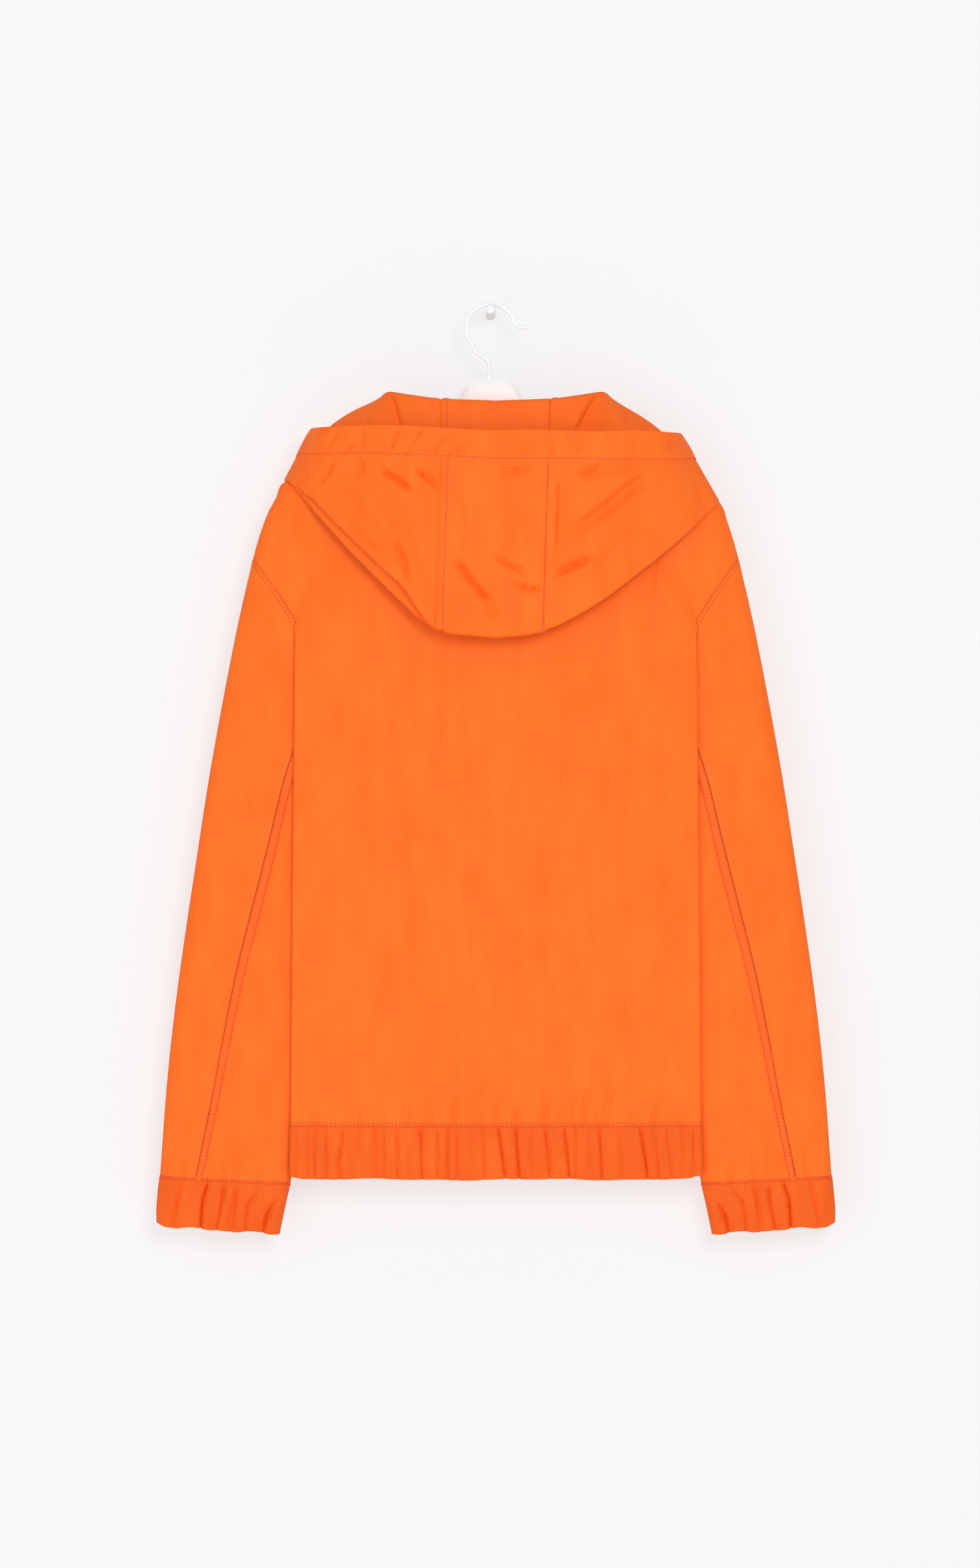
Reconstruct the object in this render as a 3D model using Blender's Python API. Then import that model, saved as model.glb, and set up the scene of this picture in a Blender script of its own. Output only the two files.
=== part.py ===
"""Hooded jacket on its hanger, hung back to the room from a wall peg.

Metres, +Z up. The origin is the middle of the peg's flat end, where it meets the wall (the plane y = 0).
The jacket's back faces -Y, towards the room, and its zipped front faces +Y, towards the wall.
The cloth is made in its own frame, whose plane y = 0 holds the hanger, and an empty puts it in place.
"""

import bmesh
import bpy
from math import asin, cos, pi, radians, sin, sqrt
from mathutils import Vector

MM = 0.001

# Driving sizes -------------------------------------------------------------------------------------
HANGER_OUT = 42 * MM          # from the wall to the hanger's middle plane
JACKET_X = 4.5 * MM           # the jacket hangs this far to the side of its peg
CLOTH = 1.0 * MM              # one layer of cloth
DOUBLE_CLOTH = 2.0 * MM       # a band doubled over elastic
CASING_CLOTH = 1.5 * MM       # the hood's turned casing
SEAM = 0.3 * MM               # gap between two pieces at a seam
EDGE_Y = 0.35 * MM            # the shoulder and side seams' edges stop this far from the plane y = 0
BACK, FRONT = -1, 1           # the two faces of the jacket, as signs of y
LEFT, RIGHT = -1, 1           # seen from the room, as signs of x

HEM_Z = -765 * MM
HEM_SEAM_Z = -717.5 * MM      # where the elastic hem band is joined on
UNDERARM_Z = -408 * MM
ARMHOLE_TOP_X = 213.8 * MM
ARMHOLE_TOP_Z = -220 * MM
UNDERARM_X = 100 * MM
FOLD_TOP_Z = -275 * MM        # below this the side of the body is folded in behind itself
FOLD_R = 2.25 * MM            # radius of that fold
FOLD_GROWS = 21 * MM          # it curls over within this height
UNDER_FOLD = 1.9 * MM         # between the middles of the sleeve's cloth and the folded layer over it
UNDER_TURN = 2.2 * MM         # and this much more round the underarm
TURN = 14 * MM                # depth of the round turn at the side seam
ROOF = 16 * MM                # how far below the shoulder line the cloth reaches its full depth
NECK_HALF = 88 * MM           # half the width of the neck opening
NECK_POINT_Z = -118 * MM
NECK_Z = {BACK: -114 * MM, FRONT: -165 * MM}
NECK_DEEP = {BACK: 20 * MM, FRONT: 18.5 * MM}
ZIP_HALF = 4.5 * MM           # from the middle of the zip to the edge of each front
DEPTH = {BACK: "back", FRONT: "front"}

# The shoulder line from the neck point to the top of the armhole.
SHOULDER = (
    dict(x=88, z=-118), dict(x=120, z=-129.5), dict(x=150, z=-139), dict(x=172, z=-147),
    dict(x=182, z=-155), dict(x=188.5, z=-163), dict(x=194.5, z=-173), dict(x=201.5, z=-185),
    dict(x=206.7, z=-197), dict(x=213.8, z=-220),
)

# The armhole seam from the shoulder to the underarm.
ARMHOLE = (
    dict(z=-408, x=100), dict(z=-341, x=139), dict(z=-275, x=176), dict(z=-253, x=190),
    dict(z=-239.5, x=200), dict(z=-220, x=213.8),
)

# The body by height: half width to the side fold, how far the side seam is tucked in behind that fold,
# and depths from the hanger's plane at the fold, the middle of the back and the middle of the front.
BODY = (
    dict(z=-765, fold=181.0, tuck=32, edge=16.4, back=22, front=20),
    dict(z=-717.5, fold=180.3, tuck=37, edge=17.2, back=26, front=22),
    dict(z=-640, fold=179.6, tuck=47, edge=18.0, back=28, front=23),
    dict(z=-560, fold=179.0, tuck=58, edge=18.8, back=28, front=23.5),
    dict(z=-480, fold=178.3, tuck=70, edge=19.6, back=27, front=23.5),
    dict(z=-408, fold=177.5, tuck=79, edge=20.2, back=26, front=23),
    dict(z=-340, fold=176.9, tuck=79, edge=20.0, back=25, front=22),
    dict(z=-288, fold=176.4, tuck=79, edge=19.4, back=24, front=21),
    dict(z=-272, fold=176.0, tuck=79, edge=14.6, back=23, front=20.5),
    dict(z=-245, fold=196.0, tuck=79, edge=12.5, back=22, front=20),
    dict(z=-220, fold=213.8, tuck=79, edge=9.0, back=21.5, front=19.5),
)

# The body's rows: shares of the way down the armhole, then heights. Its columns: shares of the way across.
BODY_ROWS = (0, 0.008, 0.028, 0.075, 0.17, 0.27, 0.31, 0.35, 0.406, 0.50, 0.66, 0.84, 0.92, 0.9786, 1.0)
BODY_HEIGHTS = (-445, -490, -545, -600, -660, -717.5)
ACROSS_BACK = (0, 0.12, 0.22, 0.31, 0.373, 0.412, 0.5, 0.63, 0.76, 0.89, 1.0)
ACROSS_FRONT = (0.0211, 0.107, 0.187, 0.256, 0.315, 0.36, 0.3915, 0.412, 0.5, 0.63, 0.76, 0.89, 1.0)
FOLD_CELLS = (3, 2, 3)        # cells over the side fold, the layer behind it and the turn at the seam

# The sleeve from armhole to cuff: its outer and inner edge, half its depth, and how far from the outer
# edge, as a share of the width, the elbow seam runs.
SLEEVE = (
    dict(outer_x=213.8, outer_z=-220, inner_x=100.0, inner_z=-408, depth=13.0, elbow=0.52),
    dict(outer_x=226.6, outer_z=-275, inner_x=110.5, inner_z=-455, depth=12.7, elbow=0.49),
    dict(outer_x=240.2, outer_z=-344, inner_x=120.6, inner_z=-500, depth=12.3, elbow=0.45),
    dict(outer_x=252.4, outer_z=-412, inner_x=130.0, inner_z=-545, depth=12.0, elbow=0.43),
    dict(outer_x=263.1, outer_z=-481, inner_x=140.0, inner_z=-590, depth=11.6, elbow=0.40),
    dict(outer_x=273.4, outer_z=-549, inner_x=149.8, inner_z=-632, depth=11.2, elbow=0.37),
    dict(outer_x=282.8, outer_z=-618, inner_x=160.0, inner_z=-676, depth=10.7, elbow=0.352),
    dict(outer_x=290.0, outer_z=-686, inner_x=170.6, inner_z=-722, depth=10.2, elbow=0.33),
    dict(outer_x=295.8, outer_z=-764.5, inner_x=181.8, inner_z=-770, depth=9.8, elbow=0.276),
)
FRONT_SEAM = 0.78             # the sleeve's other seam, on its front, as a share of the width
ROUND_SHARE = 0.16            # this share of the width at each edge is round
SLEEVE_ROWS = (0, 0.3, 1, 2, 3, 4, 5, 6, 7, 8)
ACROSS_SLEEVE = (0.27, 0.31, 0.35, 0.406, 0.59)
CUFF_ROWS = (0, 0.5, 1.3, 2.2, 3)
CUFF_ROUND = 0.12             # the round share of the cuff's width at each edge
CUFF_CORNER = 4               # points over each round edge
CUFF = (
    dict(outer_x=295.9, outer_z=-764.85, inner_x=181.9, inner_z=-770.35, depth=9.8),
    dict(outer_x=297.6, outer_z=-780.0, inner_x=185.5, inner_z=-786.0, depth=9.9),
    dict(outer_x=298.6, outer_z=-794.0, inner_x=188.5, inner_z=-800.0, depth=9.4),
    dict(outer_x=298.4, outer_z=-807.0, inner_x=191.5, inner_z=-814.5, depth=8.4),
)

# Gathers: the cloth dips in at each x, by so much, and stands out midway to the next.
HEM_GATHERS = (
    dict(x=-173, deep=1.0), dict(x=-166, deep=0.8), dict(x=-158, deep=1.0), dict(x=-150, deep=1.2),
    dict(x=-136, deep=1.4), dict(x=-107, deep=1.2), dict(x=-98, deep=1.0), dict(x=-87, deep=1.2),
    dict(x=-65, deep=1.4), dict(x=-52, deep=1.2), dict(x=-38, deep=1.4), dict(x=-10, deep=1.2),
    dict(x=6, deep=1.8), dict(x=20, deep=1.8), dict(x=44, deep=1.6), dict(x=62, deep=1.8),
    dict(x=72, deep=1.0), dict(x=92, deep=1.4), dict(x=128, deep=1.8), dict(x=142, deep=1.2),
    dict(x=151, deep=1.2), dict(x=173, deep=1.0),
)
CUFF_PLEATS = (
    dict(share=0.19, deep=1.2), dict(share=0.38, deep=1.8), dict(share=0.52, deep=1.2),
    dict(share=0.64, deep=0.8), dict(share=0.80, deep=1.0), dict(share=0.92, deep=1.4),
)

# The hood, round the neck from the middle of the back (0) over the shoulder (5) to the zip (9).
# neck: degrees round the neck opening. top: the upper fold. low: the bottom of the bag, right and left.
# rim: the edge of the opening. way: degrees that the bag faces, from the back (0) to the front (180).
# top_gap, low_gap: how far apart the layers lie at the two folds. swell: how far the layer between the
# folds lifts off its straight line.
HOOD = (
    dict(neck=0, top_x=0, top_y=-28, top_z=-82, low_x=0, left_x=0, low_y=-50, low_z=-290, left_z=-290,
         rim_x=0, rim_y=-62, rim_z=-110, way=0, top_gap=11, low_gap=15, swell=0),
    dict(neck=32.3, top_x=47, top_y=-27, top_z=-80, low_x=40, left_x=51, low_y=-49, low_z=-284,
         left_z=-282, rim_x=46.7, rim_y=-61, rim_z=-110, way=6, top_gap=11, low_gap=14, swell=0),
    dict(neck=50, top_x=69, top_y=-24, top_z=-77.5, low_x=84, left_x=86, low_y=-45, low_z=-261,
         left_z=-250, rim_x=82, rim_y=-59, rim_z=-110, way=14, top_gap=10, low_gap=12, swell=0),
    dict(neck=65, top_x=84, top_y=-18, top_z=-74.5, low_x=126, left_x=123, low_y=-38, low_z=-230,
         left_z=-214, rim_x=114, rim_y=-54, rim_z=-110, way=28, top_gap=9, low_gap=9, swell=3),
    dict(neck=78, top_x=90, top_y=-10, top_z=-73.5, low_x=167, left_x=160, low_y=-28, low_z=-197,
         left_z=-177, rim_x=150, rim_y=-40, rim_z=-110, way=50, top_gap=8, low_gap=6, swell=7.5),
    dict(neck=91, top_x=90, top_y=1, top_z=-75, low_x=198.5, left_x=189, low_y=0, low_z=-166.5,
         left_z=-150, rim_x=163, rim_y=-2, rim_z=-111, way=90, top_gap=7, low_gap=4, swell=11),
    dict(neck=108, top_x=88, top_y=11, top_z=-86, low_x=165, left_x=159, low_y=27, low_z=-187,
         left_z=-178, rim_x=149, rim_y=33, rim_z=-125, way=140, top_gap=7, low_gap=6, swell=5),
    dict(neck=130, top_x=74, top_y=19, top_z=-114, low_x=112, left_x=112, low_y=29, low_z=-186,
         left_z=-186, rim_x=106, rim_y=35, rim_z=-126, way=165, top_gap=6, low_gap=6, swell=3),
    dict(neck=153, top_x=42, top_y=20, top_z=-142, low_x=54, left_x=54, low_y=27, low_z=-171,
         left_z=-171, rim_x=54, rim_y=33, rim_z=-119, way=175, top_gap=6, low_gap=6, swell=1),
    dict(neck=176.6, top_x=6, top_y=18.5, top_z=-153, low_x=6, left_x=6, low_y=26, low_z=-160,
         left_z=-160, rim_x=6, rim_y=32, rim_z=-106, way=180, top_gap=7, low_gap=6, swell=0),
)
CASING = 25.5 * MM            # height of the strip sewn round the rim
HOOD_CLEAR = 4 * MM           # the bag hangs at least this far off the body
SPLINE_STEPS = 8
TOP_FOLD_AT = 3 * SPLINE_STEPS    # the two folds' places in hood_line, counted in its points
LOW_FOLD_AT = 9 * SPLINE_STEPS
# The panels' columns, in the table's rows round the neck. The middle one stops just short of its seams.
CENTRE_COLUMNS = 4
CENTRE_TRIM = 0.0035
SIDE_COLUMNS = (1.008, 1.5, 2, 2.5, 3, 3.5, 4, 4.4, 4.8, 5.2, 5.6, 6, 6.5, 7, 7.5, 8, 8.5, 9)

# The hanger's outline from its middle to the tip of an arm.
HANGER = (
    dict(x=0, top=-61, low=-98, half=6.0), dict(x=11.5, top=-61, low=-98.5, half=6.0),
    dict(x=19, top=-64, low=-100, half=6.0), dict(x=24, top=-71, low=-102, half=6.0),
    dict(x=30, top=-82, low=-104, half=6.0), dict(x=42, top=-98, low=-112, half=6.0),
    dict(x=62, top=-112, low=-124, half=5.6), dict(x=86, top=-122, low=-136, half=5.4),
    dict(x=104, top=-126.8, low=-142, half=5.2), dict(x=120, top=-132.4, low=-148, half=5.0),
    dict(x=146, top=-140.9, low=-158, half=4.6), dict(x=158, top=-147.0, low=-163, half=4.0),
    dict(x=165, top=-153, low=-163, half=3.0),
)
HOOK_R = 21.6 * MM            # to the middle of the wire
HOOK_WIRE = 1.65 * MM
PEG_SHAFT = 3.6 * MM
PEG_HEAD = 4.3 * MM
PEG_LONG = 51 * MM
PEG_RIM = 0.8 * MM            # bevel of the head, and the flare at the wall
HOOK_TIP = ((31.3, -15.2), (28, -15.4), (24.6, -14.2))
HOOK_ROUND = (12, 212)        # degrees, from beside the flared tip over the peg to the far side
HOOK_STEPS = 16
HOOK_NECK = ((-13, -36.8), (-5, -42.6), (-1.8, -46.5), (-1.1, -52), (-1.1, -60.7))

# The zip tapes lie behind the fronts' edges. The rows are heights from the neck to the hem.
ZIP_TAPE = 12 * MM            # from the middle of the zip to a tape's outer edge
ZIP_MEET = 0.3 * MM           # and to its inner edge
TAPE_CLOTH = 0.8 * MM
TAPE_BEHIND = 2.1 * MM        # between the middles of the tape and of the front over it
ZIP_ROWS = (-166, -169, -174, -182, -220, -275, -300, -345, -410, -480, -560, -640, -717.5, -765)

# The slider sits at the top of the closed zip. Its tab hangs on a bar under the slider's bridge.
SLIDER = dict(half_wide=4 * MM, low=-179 * MM, high=-168 * MM, inner=18.9 * MM, outer=22.4 * MM)
BRIDGE = dict(half_wide=1.2 * MM, thick=1.0 * MM, low=-177.0 * MM, high=-169.4 * MM, outer=25.4 * MM)
TAB = dict(half_wide=2.8 * MM, low=-198 * MM, high=-171.4 * MM, inner=22.8 * MM, outer=23.9 * MM)
TAB_SLOT = dict(half_wide=1.6 * MM, low=-178.4 * MM, high=-172.7 * MM)


# Shapes worked out from the tables -----------------------------------------------------------------
def ease(t):
    """0 to 1 with level ends."""
    t = min(1.0, max(0.0, t))
    return t * t * (3 - 2 * t)


def mix(a, b, t):
    return a + (b - a) * t


def smooth_row(values, t):
    """A Catmull-Rom curve through values, at t rows from the first."""
    last = len(values) - 1
    i = min(last - 1, max(0, int(t)))
    f = t - i
    b, c = values[i], values[i + 1]
    a = values[i - 1] if i else b * 2 - c
    d = values[i + 2] if i + 2 <= last else c * 2 - b
    bend = (c - a) + ((a * 2 - b * 5 + c * 4 - d) + (b * 3 - a - c * 3 + d) * f) * f
    return b + bend * (f * 0.5)


def column(table, name, t):
    """The column called name at t rows down the table, in metres."""
    return smooth_row([row[name] for row in table], t) * MM


def look_up(table, name, key, at):
    """The column called name where the rising column called key is at, in straight runs, in metres."""
    at = min(table[-1][key] * MM, max(table[0][key] * MM, at))
    for low, high in zip(table, table[1:]):
        if at <= high[key] * MM:
            share = (at - low[key] * MM) / ((high[key] - low[key]) * MM)
            return mix(low[name], high[name], share) * MM
    return table[-1][name] * MM


def run_lengths(points):
    """How far along the line each point lies."""
    lengths = [0.0]
    for a, b in zip(points, points[1:]):
        lengths.append(lengths[-1] + (b - a).length)
    return lengths


def along(points, wanted):
    """Points on the line at the wanted distances from its start."""
    lengths = run_lengths(points)
    found = []
    for far in wanted:
        far = min(lengths[-1], max(0.0, far))
        i = next(k for k in range(1, len(lengths)) if lengths[k] >= far - 1e-12)
        step = lengths[i] - lengths[i - 1]
        share = (far - lengths[i - 1]) / step if step else 0
        found.append(points[i - 1].lerp(points[i], share))
    return found


def neck_rise(x):
    """1 at the middle of the neck opening, 0 at the neck point and beyond."""
    return sqrt(max(0.0, 1 - (x / NECK_HALF) ** 2))


def top_z(x, face):
    """Height of the body's top edge: the neck opening, then the shoulder."""
    if x < NECK_HALF:
        return mix(NECK_POINT_Z, NECK_Z[face], neck_rise(x) ** 1.5)
    return look_up(SHOULDER, "z", "x", x)


def body_section(z, face):
    """Half of the body at one height, from its middle to the side seam or armhole, as (x, y) points.

    Also the length along it to where the side fold starts, where that ends, and where the turn starts.
    """
    edge = look_up(BODY, "edge", "z", z)
    deep = look_up(BODY, DEPTH[face], "z", z)
    grown = ease((FOLD_TOP_Z - z) / FOLD_GROWS)
    fold = look_up(BODY, "fold", "z", z)
    seam_x = fold - look_up(BODY, "tuck", "z", z)
    fold -= FOLD_R * min(1.0, 2 * grown)
    end_x = seam_x
    if z > UNDERARM_Z:
        end_x = look_up(ARMHOLE, "x", "z", z)
        seam_x = UNDERARM_X
    if z >= FOLD_TOP_Z:
        fold = end_x
    points = [Vector((fold * i / 30, mix(deep, edge, (i / 30) ** 2))) for i in range(31)]
    start = run_lengths(points)[-1]
    if z >= FOLD_TOP_Z:
        return points, start, start, start
    round_by = pi * grown
    for i in range(1, 13):
        angle = round_by * i / 12
        points.append(Vector((fold + FOLD_R * sin(angle), edge - FOLD_R * (1 - cos(angle)))))
    folded = run_lengths(points)[-1]
    turned = folded
    slot = edge - 2 * FOLD_R
    turn_x = seam_x + TURN
    if round_by > pi - 0.01:
        points.append(Vector((max(end_x, turn_x), slot)))
        turned = run_lengths(points)[-1]
    if end_x < turn_x:
        last = asin(min(1.0, (turn_x - end_x) / TURN))
        for i in range(1, 13):
            angle = last * i / 12
            points.append(Vector((turn_x - TURN * sin(angle), max(EDGE_Y, slot * cos(angle)))))
    return points, start, folded, turned


def section_samples(z, face, across):
    """The section at z as (share of the open part, point), cut at the shares across and at FOLD_CELLS."""
    points, start, folded, turned = body_section(z, face)
    total = run_lengths(points)[-1]
    open_part = start
    start = min(start, total - 3 * MM)
    folded = start + min(max(folded - start, 1 * MM), (total - start) * 0.5)
    turned = total - max(total - max(turned, folded), (total - folded) * 0.35)
    wanted = [start * share for share in across]
    for low, high, cells in zip((start, folded, turned), (folded, turned, total), FOLD_CELLS):
        wanted += [mix(low, high, i / cells) for i in range(1, cells + 1)]
    return [(min(1.0, far / open_part), point) for far, point in zip(wanted, along(points, wanted))]


def body_point(share, flat, down, z, face):
    """A point of the body, given its share along the section and how far down the armhole its row ends."""
    high = top_z(ARMHOLE_TOP_X * share, face)
    height = mix(high, UNDERARM_Z, down) if z >= UNDERARM_Z else z
    below = min(1.0, max(0.0, high - height) / ROOF)
    edge_y = max(EDGE_Y, NECK_DEEP[face] * neck_rise(ARMHOLE_TOP_X * share) ** 0.6)
    roof = sqrt(1 - (1 - below) ** 2)
    return Vector((flat.x, face * mix(edge_y, flat.y, roof), height))


def body_rows(face, across):
    """Half of the back or of one front, from its top edge to the hem band's seam."""
    rows = []
    for down in BODY_ROWS:
        z = mix(ARMHOLE_TOP_Z, UNDERARM_Z, down)
        samples = section_samples(z, face, across)
        rows.append([body_point(share, flat, down, z, face) for share, flat in samples])
    for z in BODY_HEIGHTS:
        samples = section_samples(z * MM, face, across)
        rows.append([Vector((sample[1].x, face * sample[1].y, z * MM)) for sample in samples])
    return rows


def mirrored(rows, side):
    return [[Vector((side * p.x, p.y, p.z)) for p in row] for row in rows]


def both_sides(rows):
    """Rows from the right seam through the middle to the left seam."""
    left = mirrored(rows, LEFT)
    return [right[::-1] + left_row[1:] for right, left_row in zip(rows, left)]


def armhole_point(down, face):
    """A point on the body's edge at the armhole, down of the way to the underarm."""
    z = mix(ARMHOLE_TOP_Z, UNDERARM_Z, down)
    flat = body_section(z, face)[0][-1]
    return body_point(1.0, flat, down, z, face)


def sleeve_ring(t, share, face):
    """A point of the right sleeve t rows down, share of its width in from the outer edge."""
    outer = Vector((column(SLEEVE, "outer_x", t), 0, column(SLEEVE, "outer_z", t)))
    inner = Vector((column(SLEEVE, "inner_x", t), 0, column(SLEEVE, "inner_z", t)))
    point = outer.lerp(inner, share)
    from_edge = min(1.0, min(share, 1 - share) / ROUND_SHARE)
    point.y = face * column(SLEEVE, "depth", t) * sqrt(1 - (1 - from_edge) ** 2)
    if t < 1:
        start = armhole_start(share, face)
        point = start.lerp(point, ease(t))
    return point


def armhole_start(share, face):
    """Where the sleeve begins: just past the body's edge, or under the body's folded-in layer."""
    edge = armhole_point(share, face)
    hidden = ease((FOLD_TOP_Z + 3 * MM - edge.z) / (12 * MM))
    out = Vector((0.86, 0, -0.51)) * SEAM
    turned = asin(min(1.0, max(0.0, (UNDERARM_X + TURN - edge.x) / TURN)))
    inward = Vector((sin(turned), -face * cos(turned), 0)) * (UNDER_FOLD + UNDER_TURN * sqrt(sin(turned)))
    return edge + out.lerp(inward, hidden)


def round_shares(count):
    """Shares of a sleeve's width over its round edge, from the edge to the flat."""
    return [ROUND_SHARE * (1 - cos(pi / 2 * i / count)) for i in range(count + 1)]


def top_sleeve_rows():
    """The outer piece: from the elbow seam, over the outer edge, to the front seam."""
    rows = []
    for t in SLEEVE_ROWS:
        trim = SEAM / 2 / (column(SLEEVE, "outer_x", t) - column(SLEEVE, "inner_x", t))
        elbow = smooth_row([row["elbow"] for row in SLEEVE], t) - trim
        back = [mix(elbow, ROUND_SHARE, i) for i in (0, 0.3, 0.55)] + round_shares(3)[::-1]
        front = round_shares(3)[1:] + list(ACROSS_SLEEVE) + [FRONT_SEAM - trim]
        rows.append([sleeve_ring(t, s, BACK) for s in back] + [sleeve_ring(t, s, FRONT) for s in front])
    return rows


def under_sleeve_rows():
    """The inner piece: from the front seam, round the inner edge, to the elbow seam."""
    rows = []
    for t in SLEEVE_ROWS:
        trim = SEAM / 2 / (column(SLEEVE, "outer_x", t) - column(SLEEVE, "inner_x", t))
        elbow = smooth_row([row["elbow"] for row in SLEEVE], t) + trim
        front = [FRONT_SEAM + trim] + [1 - s for s in round_shares(3)[::-1]]
        back = [1 - s for s in round_shares(3)[1:]]
        back += [mix(1 - ROUND_SHARE, elbow, i / 3) for i in (1, 2, 3)]
        rows.append([sleeve_ring(t, s, FRONT) for s in front] + [sleeve_ring(t, s, BACK) for s in back])
    return rows


def gather_stops(gathers, name, first, last):
    """Where a gathered edge dips and stands out: (place, depth) pairs from first to last."""
    inside = [(row[name], row["deep"]) for row in gathers if first < row[name] < last]
    stops = [(first, 0.0)]
    for place, deep in inside:
        stops.append(((stops[-1][0] + place) / 2, -deep * 0.5))
        stops.append((place, deep))
    stops.append(((stops[-1][0] + last) / 2, -0.4))
    stops.append((last, 0.0))
    return stops


def held_in(share_down):
    """How deep a band's gathers are at that share of its height: deepest halfway, shallow at its seams."""
    return 0.3 + 0.7 * sin(pi * share_down)


def hem_half(z, share_down, face, side):
    """One quarter of the hem band at one height, from its middle to the side."""
    flat = [point for _, point in section_samples(z, face, (0, 1))[2:]]
    fold = look_up(BODY, "fold", "z", z) - FOLD_R
    edge = look_up(BODY, "edge", "z", z)
    deep = look_up(BODY, DEPTH[face], "z", z)
    clear = ZIP_TAPE / MM + 2 if face == FRONT else 0
    placed = [row for row in HEM_GATHERS if abs(row["x"]) > clear]
    placed = [dict(x=row["x"] * side * -face, deep=row["deep"]) for row in placed]
    placed.sort(key=lambda row: row["x"])
    first = 0.0 if face == BACK else ZIP_HALF / MM
    points = []
    held = held_in(share_down)
    for x, dip in gather_stops(placed, "x", first, fold / MM):
        y = mix(deep, edge, (x * MM / fold) ** 2) - dip * MM * held
        points.append(Vector((side * x * MM, face * y, z)))
    points += [Vector((side * point.x, face * point.y, z)) for point in flat]
    return points


def hem_rows():
    rows = []
    for down in (0, 0.3, 0.7, 1):
        z = mix(HEM_SEAM_Z - SEAM, HEM_Z, down)
        quarters = [hem_half(z, down, face, side) for side in (RIGHT, LEFT) for face in (FRONT, BACK)]
        right = quarters[0] + quarters[1][::-1][1:]
        left = quarters[3][1:] + quarters[2][::-1][1:]
        rows.append(right + left)
    return rows


def cuff_rings():
    """The cuff as closed rings, with its pleats on both faces."""
    shares = gather_stops(CUFF_PLEATS, "share", CUFF_ROUND, 1)[:-2]
    spread = (1 - 2 * CUFF_ROUND) / (0.95 - CUFF_ROUND)
    flats = [(CUFF_ROUND + (share - CUFF_ROUND) * spread, dip) for share, dip in shares]
    turns = [pi / 2 * i / CUFF_CORNER for i in range(CUFF_CORNER)]
    rings = []
    for t in CUFF_ROWS:
        outer = Vector((column(CUFF, "outer_x", t), 0, column(CUFF, "outer_z", t)))
        inner = Vector((column(CUFF, "inner_x", t), 0, column(CUFF, "inner_z", t)))
        deep = column(CUFF, "depth", t)
        held = held_in(min(1, t / CUFF_ROWS[-1] + 0.15))
        side = [(CUFF_ROUND * (1 - cos(turn)), 0.0, sin(turn)) for turn in turns]
        side += [(share, dip, 1.0) for share, dip in flats]
        side += [(1 - CUFF_ROUND * (1 - cos(turn)), 0.0, sin(turn)) for turn in turns[::-1]]
        ring = []
        for face in (BACK, FRONT):
            points = []
            for share, dip, full in side:
                point = outer.lerp(inner, share)
                point.y = face * (deep * full - dip * MM * held)
                points.append(point)
            ring += points if face == BACK else points[::-1][1:]
        rings.append(ring)
    return rings


# The hood ------------------------------------------------------------------------------------------
def hood_point(t, name, side):
    """One of the hood's leading points t rows round the neck on the right, or mirrored on the left."""
    low = name == "low"
    x = column(HOOD, "left_x" if low and side == LEFT else name + "_x", t)
    z = column(HOOD, "left_z" if low and side == LEFT else name + "_z", t)
    return Vector((side * x, column(HOOD, name + "_y", t), z))


def neck_point(t, side):
    """The hood's lower edge, just above the body's neck edge."""
    turned = radians(smooth_row([row["neck"] for row in HOOD], t))
    face = BACK if cos(turned) > 0 else FRONT
    rise = abs(cos(turned))
    x = side * NECK_HALF * sin(turned)
    y = face * NECK_DEEP[face] * rise ** 0.6
    lift = 0.55 * MM + 1.2 * MM * sin(turned) ** 2
    return Vector((x, y, mix(NECK_POINT_Z, NECK_Z[face], rise ** 1.5) + lift))


def clear_of_body(point, way):
    """The point, moved out of the body's shoulders where it would lie inside them."""
    x = abs(point.x)
    face = BACK if cos(way) > 0 else FRONT
    below = min(1.0, max(0.0, top_z(x, face) - point.z) / ROOF)
    wide = look_up(BODY, "fold", "z", point.z)
    deep = look_up(BODY, DEPTH[face], "z", point.z)
    edge = look_up(BODY, "edge", "z", point.z)
    body = mix(deep, edge, min(1.0, x / wide) ** 2) * sqrt(1 - (1 - below) ** 2)
    if x > wide or below == 0:
        return point
    return Vector((point.x, face * max(face * point.y, body + HOOD_CLEAR), point.z))


def hood_line(t, side):
    """The hood's cloth from the neck, over its upper fold, down, round the bag and up to the rim."""
    neck = neck_point(t, side)
    top = hood_point(t, "top", side)
    low = hood_point(t, "low", side)
    rim = hood_point(t, "rim", side)
    way = radians(smooth_row([row["way"] for row in HOOD], t))
    out = Vector((side * sin(way), -cos(way), 0))
    top_gap = column(HOOD, "top_gap", t)
    low_gap = column(HOOD, "low_gap", t)
    swell = column(HOOD, "swell", t)
    top_in, top_out = top, top + out * top_gap
    low = clear_of_body(low, way)
    low_in, low_out = low, low + out * low_gap
    fall = low_in - top_out
    lifted = Vector((out.x * -fall.z, out.y * -fall.z, Vector((out.x, out.y)).dot(Vector(fall.xy))))
    lifted.normalize()
    corners = [neck, neck.lerp(top_in, 0.6)]
    reach = min(top_gap, (top_in - neck).length * 0.4)
    corners += [top_in + (neck - top_in).normalized() * reach, top_in, top_out]
    corners += [top_out + fall.normalized() * min(reach, fall.length * 0.2)]
    for share in (0.35, 0.7):
        corners.append(clear_of_body(top_out + fall * share + lifted * swell, way))
    reach = min(low_gap, fall.length * 0.2)
    corners += [low_in - fall.normalized() * reach, low_in, low_out]
    corners += [low_out + (rim - low_out).normalized() * reach, low_out.lerp(rim, 0.5), rim]
    return spline(corners)


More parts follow.
